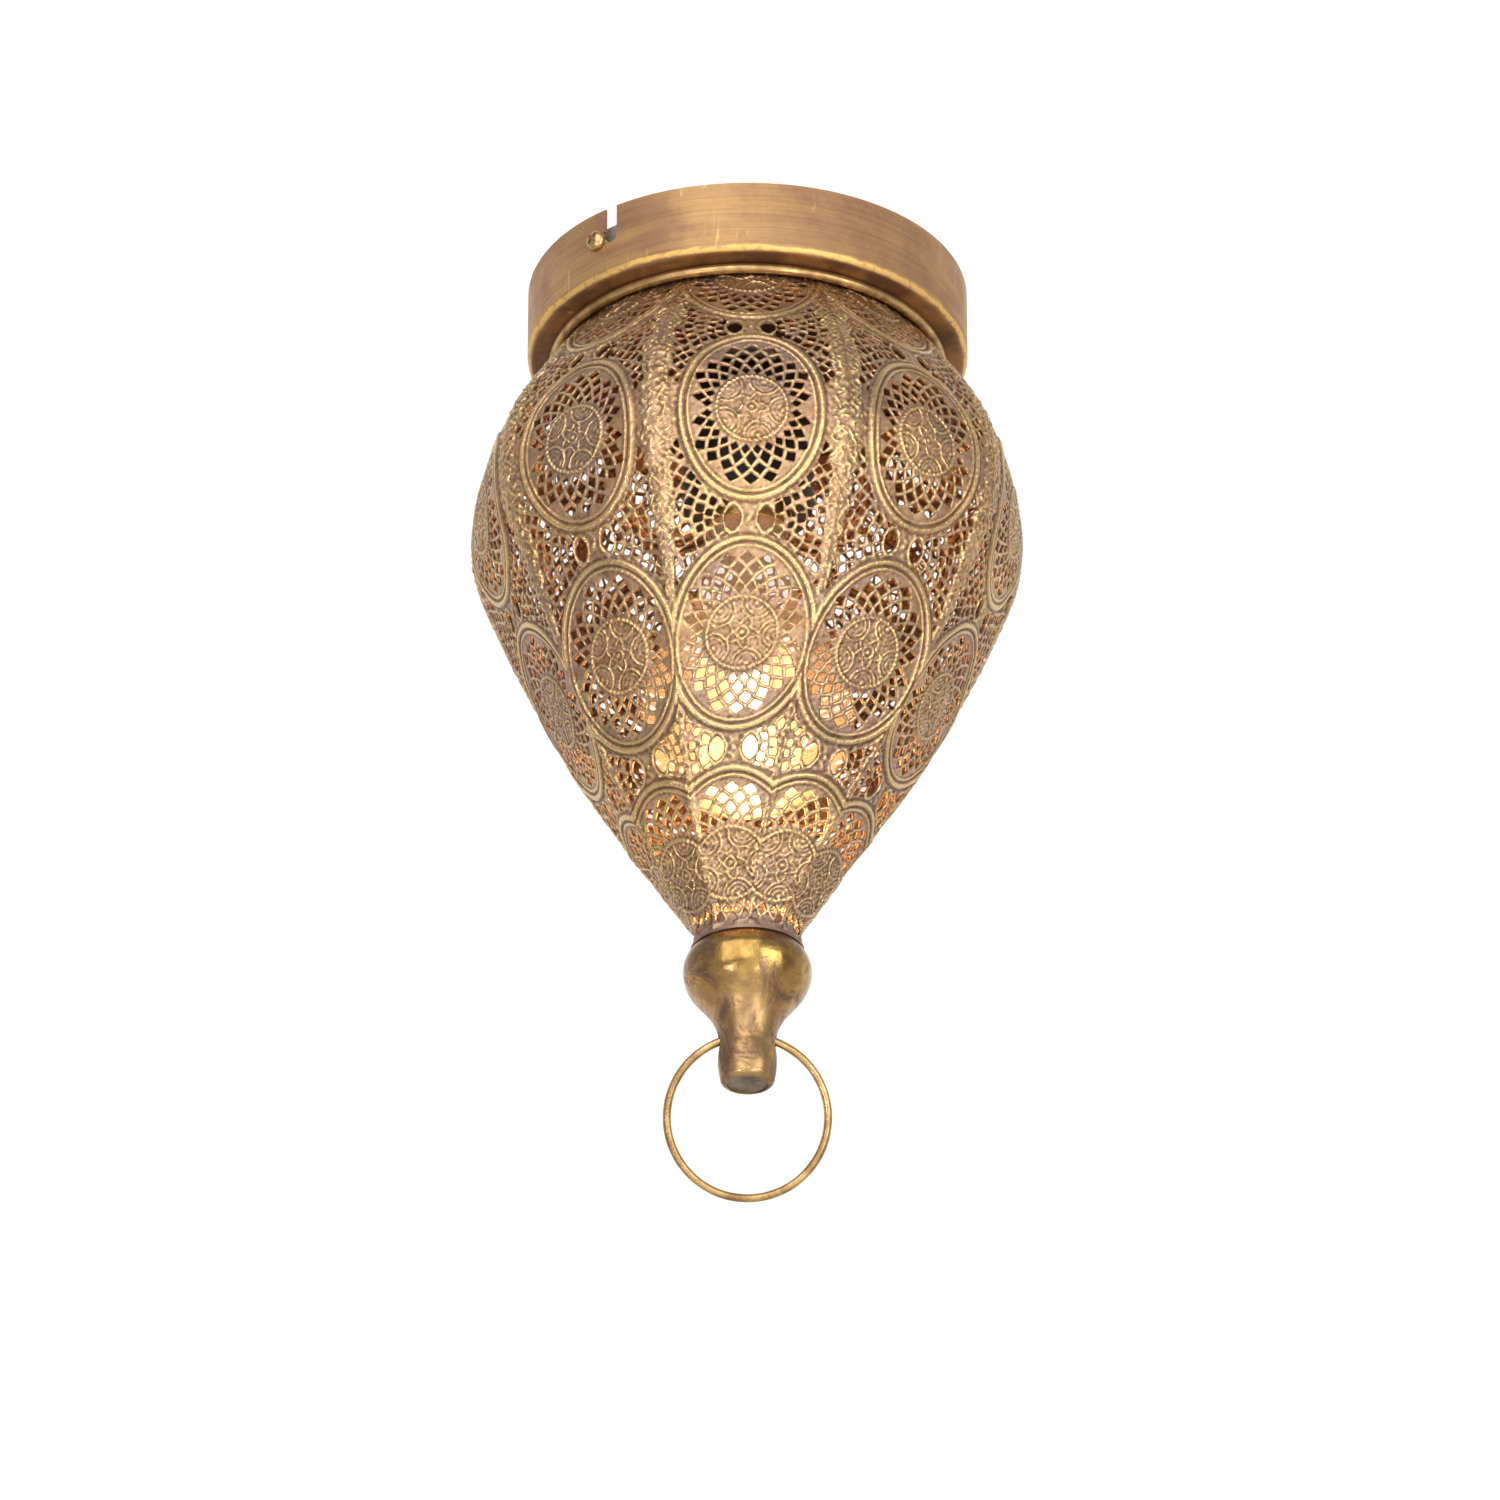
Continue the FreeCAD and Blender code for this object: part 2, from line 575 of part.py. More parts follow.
# ---------------------------------------------------------------- bulb

bulb_contact = rod("bulb_contact", "4.5", "1.3", Vector(0, 0, -size("holder_split") - 9.8))
bulb_insulator = turned("bulb_insulator", [
    ("0", "-holder_split - 13"),
    ("cap_radius - 2.5", "-holder_split - 13"),
    ("cap_radius - 8", "-holder_split - 9.8"),
    ("0", "-holder_split - 9.8"),
])
bulb_cap = turned("bulb_cap", [
    ("cap_radius - 0.5", "-holder_mouth - 6"),
    ("cap_radius", "-holder_mouth - 6"),
    ("cap_radius", "-holder_split - 14.5"),
    ("cap_radius - 1.5", "-holder_split - 13"),
    ("cap_radius - 6", "-holder_split - 13"),
    ("cap_radius - 6", "-holder_split - 13.6"),
    ("cap_radius - 1.8", "-holder_split - 13.6"),
    ("cap_radius - 0.5", "-holder_split - 15"),
])
bulb_glass = turned("bulb_glass", [
    ("bulb_neck", "-holder_mouth + 1"),
    ("bulb_neck - glass", "-holder_mouth + 1"),
    ("bulb_neck - glass", "-holder_mouth - 7", "bulb_neck_bend + glass"),
    ("bulb_join_radius - 0.72", "-bulb_join_drop - 0.54", "-(bulb_radius - glass)"),
    ("0", "-bulb_bottom + glass"),
    ("0", "-bulb_bottom", "bulb_radius"),
    ("bulb_join_radius", "-bulb_join_drop", "-bulb_neck_bend"),
    ("bulb_neck", "-holder_mouth - 7"),
])
bulb_stem = turned("bulb_stem", [
    ("0", "-holder_mouth"),
    ("bulb_neck - glass - 0.1", "-holder_mouth"),
    ("bulb_neck - glass - 0.1", "-holder_mouth - 1"),
    ("stem_radius", "-holder_mouth - 4"),
    ("stem_radius", "-holder_mouth - stem_length"),
    ("0", "-holder_mouth - stem_length"),
])
filament_z = -size("filament_drop")
support_reach = size("filament_length / 2 + 0.9")
supports = []
for side in (-1, 1):
    foot = Vector(side * 2.4, 0, -size("holder_mouth + stem_length") - 0.3)
    tip = Vector(side * support_reach, 0, filament_z)
    wire = str((tip - foot).Length)
    supports.append(rod(f"filament_support{side}", "support_radius", wire, foot, tip - foot))
bulb_supports = group("bulb_supports", *supports)
bulb_filament = rod("bulb_filament", "filament_radius", "filament_length",
                    Vector(-size("filament_length") / 2, 0, filament_z), Vector(1, 0, 0))

# ---------------------------------------------------------------- canopy

canopy_blank = turned("canopy_blank", [
    ("mouth_radius", "-canopy_depth"),
    ("canopy_radius - canopy_edge", "-canopy_depth", "canopy_edge"),
    ("canopy_radius", "-canopy_depth + canopy_edge"),
    ("canopy_radius", "0"),
    ("canopy_radius - sheet", "0"),
    ("canopy_radius - sheet", "-canopy_depth + canopy_edge", "-(canopy_edge - sheet)"),
    ("canopy_radius - canopy_edge", "-canopy_depth + sheet"),
    ("mouth_radius", "-canopy_depth + sheet"),
])
# A bayonet slot runs down from the rim, then turns along the wall to where its side screw sits.
slot_cuts = []
for side, screw_angle in enumerate((bar_turn + 180, bar_turn)):
    open_angle = screw_angle + size("bayonet_turn")
    leg = bind(doc.addObject("Part::Cylinder", f"slot_leg{side}"),
               Radius="canopy_radius + 5", Height="bayonet_width", Angle="bayonet_turn")
    leg.Placement = Placement(Vector(0, 0, -size("screw_drop + bayonet_width / 2")),
                              Rotation(UP, screw_angle))
    slot_cuts.append(leg)
    for end, angle in enumerate((screw_angle, open_angle)):
        outward = Rotation(UP, angle).multVec(Vector(1, 0, 0))
        slot_cuts.append(rod(f"slot_round{side}{end}", "bayonet_width / 2", "20",
                             outward * 60 - UP * size("screw_drop"), outward))
    outward = Rotation(UP, open_angle).multVec(Vector(1, 0, 0))
    slot_cuts.append(block(f"slot_entry{side}", "20", "bayonet_width", "screw_drop + 1",
                           outward * size("canopy_radius") - UP * size("screw_drop"), open_angle))
canopy_cup = cut("canopy_cup", canopy_blank, *slot_cuts)

COLLAR_FLANGE = "-canopy_depth + 2 * sheet"
top_collar_blank = turned("top_collar_blank", [
    ("mouth_radius - 1", COLLAR_FLANGE),
    ("canopy_radius - 4", COLLAR_FLANGE),
    ("canopy_radius - 4", "-canopy_depth + sheet"),
    ("mouth_radius - 0.2", "-canopy_depth + sheet"),
    ("mouth_radius - 0.2", "-rim_drop + 0.3"),
    ("rim_radius + 2.3", "-rim_drop - 5.5"),
    ("rim_radius + 1.5", "-rim_drop - 5.5"),
    ("mouth_radius - 1", "-rim_drop"),
])
RIVETS = 3
rivet_reach = size("canopy_radius - rivet_inset")
rivet_holes, rivets, floor_holes = [], [], []
for number in range(RIVETS):
    outward = Rotation(UP, 90 + number * 360 / RIVETS).multVec(Vector(1, 0, 0))
    spot = outward * rivet_reach - UP * size("canopy_depth")
    rivet_holes.append(rod(f"rivet_hole{number}", "rivet_radius", "3", spot))
    rivet = doc.addObject("Part::MultiFuse", f"rivet{number}")
    rivet.Shapes = [
        rod(f"rivet_shank{number}", "rivet_radius", "2 * sheet", spot),
        rod(f"rivet_head{number}", "rivet_head", "0.8", spot + UP * size("2 * sheet")),
    ]
    rivets.append(rivet)
top_collar = cut("top_collar", top_collar_blank, *rivet_holes)
canopy_cup.Tool.Links = canopy_cup.Tool.Links + rivet_holes
collar_rivets = group("collar_rivets", *rivets)

shade_bead = bind(doc.addObject("Part::Torus", "shade_bead"), Radius1="bead_radius", Radius2="bead_wire")
shade_bead.Placement = Placement(Vector(0, 0, -size("bead_drop")), Rotation())

# ---------------------------------------------------------------- shade gores

gore = doc.addObject("PartDesign::Body", "gore_blank")
gore_sketch = sketch_on(gore, "gore_outline", "XZ_Plane")
GORE_OUTSIDE = [
    ("rim_radius", "-rim_drop"),
    ("shoulder_radius", "-shoulder_drop", "-shoulder_bend"),
    ("belly_radius", "-belly_drop", "-belly_bend"),
    ("hip_radius", "-hip_drop", "-flank_bend"),
    ("shin_radius", "-shin_drop"),
    ("ankle_radius", "-ankle_drop", "ankle_bend"),
    ("neck_radius", "-neck_drop"),
    ("neck_radius", "-shade_drop"),
]
# The inside is the outside moved in by the sheet's thickness, so each arc is drawn the other way.
GORE_INSIDE = [
    ("neck_radius - sheet", "-shade_drop"),
    ("neck_radius - sheet", "-neck_drop", "-ankle_bend"),
    ("ankle_radius - sheet", "-ankle_drop"),
    ("shin_radius - sheet", "-shin_drop", "flank_bend"),
    ("hip_radius - sheet", "-hip_drop", "belly_bend"),
    ("belly_radius - sheet", "-belly_drop", "shoulder_bend"),
    ("shoulder_radius - sheet", "-shoulder_drop"),
    ("rim_radius - sheet", "-rim_drop"),
]
outline(gore_sketch, GORE_OUTSIDE + GORE_INSIDE)
axis_x = -size("gore_axis")
axis_line = gore_sketch.addGeometry(
    Part.LineSegment(Vector(axis_x, -size("shade_drop"), 0), Vector(axis_x, 0, 0)), True)
gore_sketch.addConstraint(Sketcher.Constraint("Vertical", axis_line))
gore_sketch.addConstraint(Sketcher.Constraint("PointOnObject", axis_line, 2, -1))
gore_sketch.addConstraint(Sketcher.Constraint("DistanceY", -1, 1, axis_line, 1, -size("shade_drop")))
gore_sketch.renameConstraint(gore_sketch.ConstraintCount - 1, "axis_foot")
gore_sketch.setExpression("Constraints.axis_foot", bound("-shade_drop"))
gore_sketch.addConstraint(Sketcher.Constraint("DistanceX", -1, 1, axis_line, 1, axis_x))
gore_sketch.renameConstraint(gore_sketch.ConstraintCount - 1, "axis_place")
gore_sketch.setExpression("Constraints.axis_place", bound("-gore_axis"))
gore_turn = gore.newObject("PartDesign::Revolution", "gore_turn")
gore_turn.Profile = gore_sketch
gore_turn.ReferenceAxis = (gore_sketch, ["Axis0"])
gore_turn.Midplane = True
gore_turn.Angle = 26
gore.Tip = gore_turn

sector = bind(doc.addObject("Part::Cylinder", "gore_sector"),
              Radius="belly_radius + 20", Height="shade_drop", Angle="gore_sector")
sector.Placement = Placement(Vector(0, 0, -size("shade_drop")), Rotation(UP, -size("gore_sector") / 2))
shade_panels = []
for number in range(1, GORES + 1):
    panel = doc.addObject("Part::Common", f"shade_panel_{number}")
    panel.Base = gore
    panel.Tool = sector
    panel.Placement = Placement(Vector(), Rotation(UP, -90 + (number - 1) * 360 / GORES))
    shade_panels.append(panel)

# ---------------------------------------------------------------- neck, finial and ring

bottom_collar_blank = turned("bottom_collar_blank", [
    ("0", "-shade_drop - 1"),
    ("neck_radius + 1.1", "-shade_drop - 1"),
    ("neck_radius + 1.1", "-shade_drop"),
    ("neck_radius - sheet - 0.1", "-shade_drop"),
    ("neck_radius - sheet - 0.1", "-shade_drop + 6"),
    ("neck_radius - 2 * sheet - 0.1", "-shade_drop + 6"),
    ("neck_radius - 2 * sheet - 0.1", "-shade_drop"),
    ("0", "-shade_drop"),
])
BOLT_RADIUS = "2.5"
floor_top = Vector(0, 0, -size("shade_drop"))
bottom_collar = cut("bottom_collar", bottom_collar_blank,
                    rod("collar_hole", "2.7", "4", floor_top - UP * 2))
finial_washer = cut("finial_washer", rod("finial_washer_disc", "5", "1", floor_top),
                    rod("finial_washer_hole", BOLT_RADIUS, "1", floor_top))
bolt_head = bind(doc.addObject("Part::Prism", "bolt_head"), Circumradius="4.6", Height="3.5")
bolt_head.Polygon = 6
bolt_head.Placement = Placement(floor_top + UP, Rotation())
finial_bolt = doc.addObject("Part::MultiFuse", "finial_bolt")
finial_bolt.Shapes = [bolt_head, rod("bolt_shank", BOLT_RADIUS, "10", floor_top - UP * 9)]

finial_disc_blank = turned("finial_disc_blank", [
    ("0", "-finial_top - 0.1"),
    ("finial_mouth - finial_wall - 0.1", "-finial_top - 0.1"),
    ("finial_mouth - finial_wall - 0.1", "-finial_top - 1.6"),
    ("6", "-finial_top - 1.6"),
    ("6", "-finial_top - 8"),
    ("0", "-finial_top - 8"),
])
finial_disc = cut("finial_disc", finial_disc_blank,
                  rod("finial_thread", BOLT_RADIUS, "20", floor_top - UP * 15))

finial_blank = turned("finial_blank", [
    ("finial_mouth", "-finial_top", "-mouth_bend"),
    ("onion_radius", "-onion_drop", "-onion_bend"),
    ("onion_low_radius", "-onion_low_drop"),
    ("throat_radius", "-throat_drop", "throat_bend"),
    ("waist_radius", "-waist_drop", "-barrel_bend"),
    ("waist_radius - 0.2", "-finial_end + barrel_round", "-barrel_round"),
    ("waist_radius - 2.1", "-finial_end"),
    ("waist_radius - 2.3", "-finial_end"),
    ("waist_radius - 2.3", "-finial_end + 1.6"),
    ("waist_radius - finial_wall", "-finial_end + 2.6"),
    ("waist_radius - finial_wall", "-waist_drop", "-(throat_bend + finial_wall)"),
    ("throat_radius - 0.77 * finial_wall", "-throat_drop + 0.64 * finial_wall"),
    ("onion_low_radius - 0.77 * finial_wall", "-onion_low_drop + 0.64 * finial_wall",
     "onion_bend - finial_wall"),
    ("onion_radius - finial_wall", "-onion_drop", "mouth_bend - finial_wall"),
    ("finial_mouth - finial_wall", "-finial_top"),
])
ring_line = Vector(0, 0, -size("ring_drop"))
finial_onion = cut("finial_onion", finial_blank,
                   rod("ring_holes", "ring_hole", "40", ring_line - Vector(20, 0, 0), Vector(1, 0, 0)))
finial_end_disc = rod("finial_end_disc", "waist_radius - 2.35", "1.2",
                      Vector(0, 0, 0.3 - size("finial_end")))

# The ring's wire crosses the finial's wall at its two holes, so the ring's middle hangs below them.
ring_arm = math.sqrt(size("ring_radius") ** 2 - size("waist_radius") ** 2)
tilt = math.radians(size("ring_tilt"))
pull_ring = bind(doc.addObject("Part::Torus", "pull_ring"), Radius1="ring_radius", Radius2="ring_wire")
pull_ring.Placement = Placement(
    ring_line + Vector(0, math.sin(tilt), -math.cos(tilt)) * ring_arm,
    Rotation(Vector(1, 0, 0), size("ring_tilt") - 90))

# ---------------------------------------------------------------- side screws

side_screws = []
screw_seat = size("canopy_radius + side_head_gap")
for number, side in ((1, -1), (2, 1)):
    # Drawn pointing up from the head's underside, then laid along the bar.
    blank = turned(f"side_screw_{number}_blank", [
        ("0", "-side_screw_length"),
        ("side_screw_radius - 0.5", "-side_screw_length"),
        ("side_screw_radius", "-side_screw_length + 0.5"),
        ("side_screw_radius", "0"),
        ("side_head_radius", "0"),
        ("side_head_radius", "0.9", "2.9"),
        ("side_head_radius - 1.6", "side_head_height"),
        ("0", "side_head_height"),
    ])
    recess_floor = UP * size("side_head_height - recess_depth")
    recess = [
        block(f"recess_{number}_{arm}", "recess_length", "recess_width", "recess_depth + 1",
              recess_floor, arm)
        for arm in (0, 90)
    ]
    screw = cut(f"side_screw_{number}", blank, *recess)
    screw.Placement = Placement(on_bar(side * screw_seat, 0, -size("screw_drop")),
                                Rotation(UP, along * side))
    side_screws.append(screw)

# ---------------------------------------------------------------- checks and export

SUB_PARTS = [
    ceiling_bar, canopy_bar, heat_shield, ear_nuts, nipple, nipple_nuts, nipple_washer,
    earth_lug, earth_screw, terminal_block, terminal_sleeves, terminal_screws, block_screw,
    lead_live, lead_neutral, lead_earth,
    holder_cap, holder_body, holder_shell, holder_contact, holder_terminals,
    bulb_contact, bulb_insulator, bulb_cap, bulb_glass, bulb_stem, bulb_supports, bulb_filament,
    canopy_cup, top_collar, collar_rivets, shade_bead, *shade_panels,
    bottom_collar, finial_washer, finial_bolt, finial_disc, finial_onion, finial_end_disc,
    pull_ring, *side_screws,
]

doc.recompute()
for thing in doc.Objects:
    for problem in ("Invalid", "Error"):
        if problem in thing.State:
            raise RuntimeError(f"{thing.Label}: {problem}")
for part in SUB_PARTS:
    if part.Shape.isNull() or not part.Shape.isValid() or not part.Shape.Solids:
        raise RuntimeError(f"{part.Label}: no valid solid")

os.makedirs("parts", exist_ok=True)
for part in SUB_PARTS:
    part.Shape.exportStep(f"parts/{part.Label}.step")
    box = part.Shape.BoundBox
    print(f"{part.Label:20s} {len(part.Shape.Solids):2d} solids {part.Shape.Volume:10.1f} mm3",
          f"z {box.ZMin:7.1f} to {box.ZMax:6.1f}")
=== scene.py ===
import json
import math

import bpy
import numpy as np
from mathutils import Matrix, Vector


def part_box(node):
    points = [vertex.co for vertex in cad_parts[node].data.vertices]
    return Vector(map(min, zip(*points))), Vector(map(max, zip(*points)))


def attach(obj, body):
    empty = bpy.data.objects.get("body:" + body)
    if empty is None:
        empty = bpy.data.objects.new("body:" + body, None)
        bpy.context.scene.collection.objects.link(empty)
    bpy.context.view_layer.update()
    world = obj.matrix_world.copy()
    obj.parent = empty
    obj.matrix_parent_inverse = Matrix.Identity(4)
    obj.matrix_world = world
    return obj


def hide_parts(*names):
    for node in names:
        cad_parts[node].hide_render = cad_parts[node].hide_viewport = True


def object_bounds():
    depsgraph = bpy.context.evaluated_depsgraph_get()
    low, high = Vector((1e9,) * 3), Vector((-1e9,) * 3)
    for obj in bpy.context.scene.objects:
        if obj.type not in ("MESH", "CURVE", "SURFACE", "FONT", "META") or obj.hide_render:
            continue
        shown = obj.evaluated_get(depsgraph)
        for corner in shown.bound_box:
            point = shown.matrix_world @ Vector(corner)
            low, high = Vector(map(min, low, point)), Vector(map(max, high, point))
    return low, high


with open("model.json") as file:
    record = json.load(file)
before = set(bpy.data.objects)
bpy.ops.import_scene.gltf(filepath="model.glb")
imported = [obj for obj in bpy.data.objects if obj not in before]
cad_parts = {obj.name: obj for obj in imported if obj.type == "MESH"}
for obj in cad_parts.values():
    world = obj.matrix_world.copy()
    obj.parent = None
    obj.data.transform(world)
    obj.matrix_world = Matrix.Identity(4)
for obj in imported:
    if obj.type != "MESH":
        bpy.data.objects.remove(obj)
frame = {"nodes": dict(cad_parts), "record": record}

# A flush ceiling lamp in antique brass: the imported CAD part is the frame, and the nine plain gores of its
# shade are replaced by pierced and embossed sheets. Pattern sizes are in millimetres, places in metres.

cad_box = [list(corner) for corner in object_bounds()]
MM = 0.001

# ------------------------------------------------------------------ the gore: its profile and its pattern

# (radius, drop below the ceiling, bend to the next station) down the middle of a gore; a positive bend
# is hollow, a negative one is full, and None is straight.
PROFILE = [
    (59.0, 26.7, None),
    (75.8, 52.0, -60.3),
    (86.3, 86.0, -50.4),
    (82.7, 104.7, -500.0),
    (37.8, 194.8, None),
    (18.5, 224.4, 12.8),
    (16.4, 231.4, None),
    (16.4, 233.6, None),
]
GORES = 9
GORE_BACK = 85.0            # a gore's curve has its axis this far behind the lamp's own
GORE_HALF = math.radians(20)
PROFILE_STEP = 0.25
SHEET = 0.55
FACE_DROP = 1.02            # the flat of the sheet lies this far inside the CAD gore; its ridges come nearer
RIM_ROUND = 60.1            # at the rim the gores join in a circle of this radius
RIM_REACH = 26.0            # and the nine flats come in over this length
TWIST_TOP, TWIST_LOSS, TWIST_POWER = 0.9, 14.1, 2.6   # the shade is a little twisted, most at its foot
TWIST_START, TWIST_SPAN = 90.0, 126.0

MEDALLION_AT = 90.2         # drop of the first full row of medallions
ROW_PITCH = 70.4
OVAL = (23.4, 30.3)         # half width and half height of a medallion
LATTICE_OVAL = (18.4, 24.2)  # lattice holes have their middles inside this oval
DISC = 11.6                 # radius of the disc in the middle of a medallion
ROPE_BEADS = 44             # round the disc
PETALS, PETAL_REACH, PETAL_TURN = 5, 9.9, math.radians(66)   # round leaf shapes in the disc
SPOKES = 24
# lattice rings: (radius, half height, holes stand between the spokes, the two level holes are left out)
LATTICE = [
    (13.9, 2.3, True, False),
    (16.8, 2.9, False, True),
    (20.0, 2.4, True, False),
    (23.0, 2.3, False, True),
]
BAR = 0.43                  # half the width of a lattice bar
WEB_RINGS = [9.5, 12.8, 16.1, 19.4, 22.7, 26.0, 29.3, 32.6]
WEB_CELL = (1.16, 1.22)     # half height and half width of a web cell
WEB_PITCH = 3.5
CELL_ROUND = 0.5            # radius of a web cell's corners
EYE_AT, EYE_HALF, EYE_TALL = 5.2, 2.4, 3.7           # the two big almond holes beside each bridge
SEAM_MARGIN = 1.0           # no hole comes nearer a seam
LIP = 3.0                   # plain edge at the shade's foot
LEAF_WIDE, LEAF_NARROW = 5.0, 1.7                    # the leaf band beside a seam, above and below
LAP_WIDE, LAP_RISE = 1.4, 0.25                       # one gore's edge laps over the next
INSET = 0.03                # the highest ridges stay this far inside the CAD gore
SEAM_TUCK, SEAM_REACH = 0.32, 4.0                    # and this much further at a seam, over this width
CREST_REACH = 0.9           # a crest is judged against the sheet this far round it
GRID = 0.485                # edge of the triangles the sheet is made of
SHARP_ANGLE = math.radians(38)


def arc_points(start, end, bend):
    """Points along an arc of radius |bend| after start; its centre is on the left when bend is positive."""
    chord = end - start
    length = math.hypot(*chord)
    across = np.array([-chord[1], chord[0]]) / length
    centre = (start + end) / 2 + across * math.copysign(math.sqrt(bend ** 2 - length ** 2 / 4), bend)
    first = math.atan2(start[1] - centre[1], start[0] - centre[0])
    last = math.atan2(end[1] - centre[1], end[0] - centre[0])
    sweep = (last - first + math.pi) % (2 * math.pi) - math.pi
    count = max(2, int(abs(sweep * bend) / PROFILE_STEP))
    angles = first + sweep * np.arange(1, count + 1) / count
    return centre + abs(bend) * np.column_stack([np.cos(angles), np.sin(angles)])


def profile_line():
    """Length along the gore's middle, radius and height, sampled finely."""
    points = [np.array([PROFILE[0][0], -PROFILE[0][1]])]
    for (radius, drop, bend), (next_radius, next_drop, _) in zip(PROFILE, PROFILE[1:]):
        start, end = np.array([radius, -drop]), np.array([next_radius, -next_drop])
        if bend is None:
            count = max(2, int(math.hypot(*(end - start)) / PROFILE_STEP))
            points.extend(start + (end - start) * step / count for step in range(1, count + 1))
        else:
            points.extend(arc_points(start, end, bend))
    points = np.array(points)
    along = np.concatenate([[0], np.cumsum(np.hypot(*np.diff(points, axis=0).T))])
    return along, points[:, 0], points[:, 1]


ALONG, RADIUS, HEIGHT = profile_line()
LENGTH = ALONG[-1]
SLOPE_R = np.gradient(RADIUS, ALONG)
SLOPE_Z = np.gradient(HEIGHT, ALONG)
FIRST_ROW = float(np.interp(MEDALLION_AT, -HEIGHT, ALONG))


def half_width(v):
    """Half the width of a gore at v, measured round its surface."""
    reach = np.interp(v, ALONG, RADIUS) + GORE_BACK
    corner = -GORE_BACK * math.cos(GORE_HALF) + np.sqrt(reach ** 2 - (GORE_BACK * math.sin(GORE_HALF)) ** 2)
    return reach * np.arcsin(corner * math.sin(GORE_HALF) / reach)


def on_gore(u, v, rise):
    """The place of a point of the flat pattern on the front gore, raised off the sheet by rise."""
    reach = np.interp(v, ALONG, RADIUS) + GORE_BACK
    swing = u / reach
    out = -np.interp(v, ALONG, SLOPE_Z)
    up = np.interp(v, ALONG, SLOPE_R)
    x = (reach + rise * out) * np.sin(swing)
    y = GORE_BACK - (reach + rise * out) * np.cos(swing)
    z = np.interp(v, ALONG, HEIGHT) + rise * up
    roundness = np.clip(1 - v / RIM_REACH, 0, 1) ** 2
    polar, heading = np.hypot(x, y), np.arctan2(x, -y)
    level = (reach - GORE_BACK) * RIM_ROUND / RADIUS[0] + rise * out
    polar = polar + (level - polar) * roundness
    turn = np.clip((-z - TWIST_START) / TWIST_SPAN, 0, None) ** TWIST_POWER
    heading = heading + np.radians(TWIST_TOP - TWIST_LOSS * turn)
    return np.column_stack([polar * np.sin(heading), -polar * np.cos(heading), z])


def ripple(u, v, wavelength, seed):
    """Smooth uneven waves between about -1 and 1."""
    rng = np.random.default_rng(seed)
    total = np.zeros_like(u)
    for _ in range(7):
        heading, phase = rng.uniform(0, 2 * math.pi, 2)
        wave = 2 * math.pi / (wavelength * rng.uniform(0.7, 1.4))
        total += np.sin(wave * (u * math.cos(heading) + v * math.sin(heading)) + phase)
    return total / 3


def ridge(distance, middle, half, tall):
    """A rounded ridge along a line of equal distance."""
    return tall * np.clip(1 - ((distance - middle) / half) ** 2, 0, None)


def oval_distance(u, w, wide, tall):
    """Roughly the distance outside an oval."""
    level = np.sqrt((u / wide) ** 2 + (w / tall) ** 2) + 1e-9
    steep = np.sqrt((u / wide ** 2) ** 2 + (w / tall ** 2) ** 2) / level + 1e-9
    return (level - 1) / steep


def medallion_row(v):
    """Distance down from the middle of the nearest medallion."""
    return (v - FIRST_ROW + ROW_PITCH / 2) % ROW_PITCH - ROW_PITCH / 2


def bridge_row(v):
    """Distance down from the middle of the nearest bridge between medallions."""
    return (v - FIRST_ROW) % ROW_PITCH - ROW_PITCH / 2


def leaf_edge(v):
    """Where the embossed leaf band beside a seam starts: the band narrows down the shade."""
    narrow = np.interp(v, [FIRST_ROW + 15, FIRST_ROW + 60], [LEAF_WIDE, LEAF_NARROW])
    return half_width(v) - narrow * (1 + 0.16 * ripple(v, v, 8, 41))


def leaf_band(u, v):
    """1 in the embossed leaf band beside a seam, 0 elsewhere."""
    return np.clip((np.abs(u) - leaf_edge(v)) / 0.6, 0, 1)


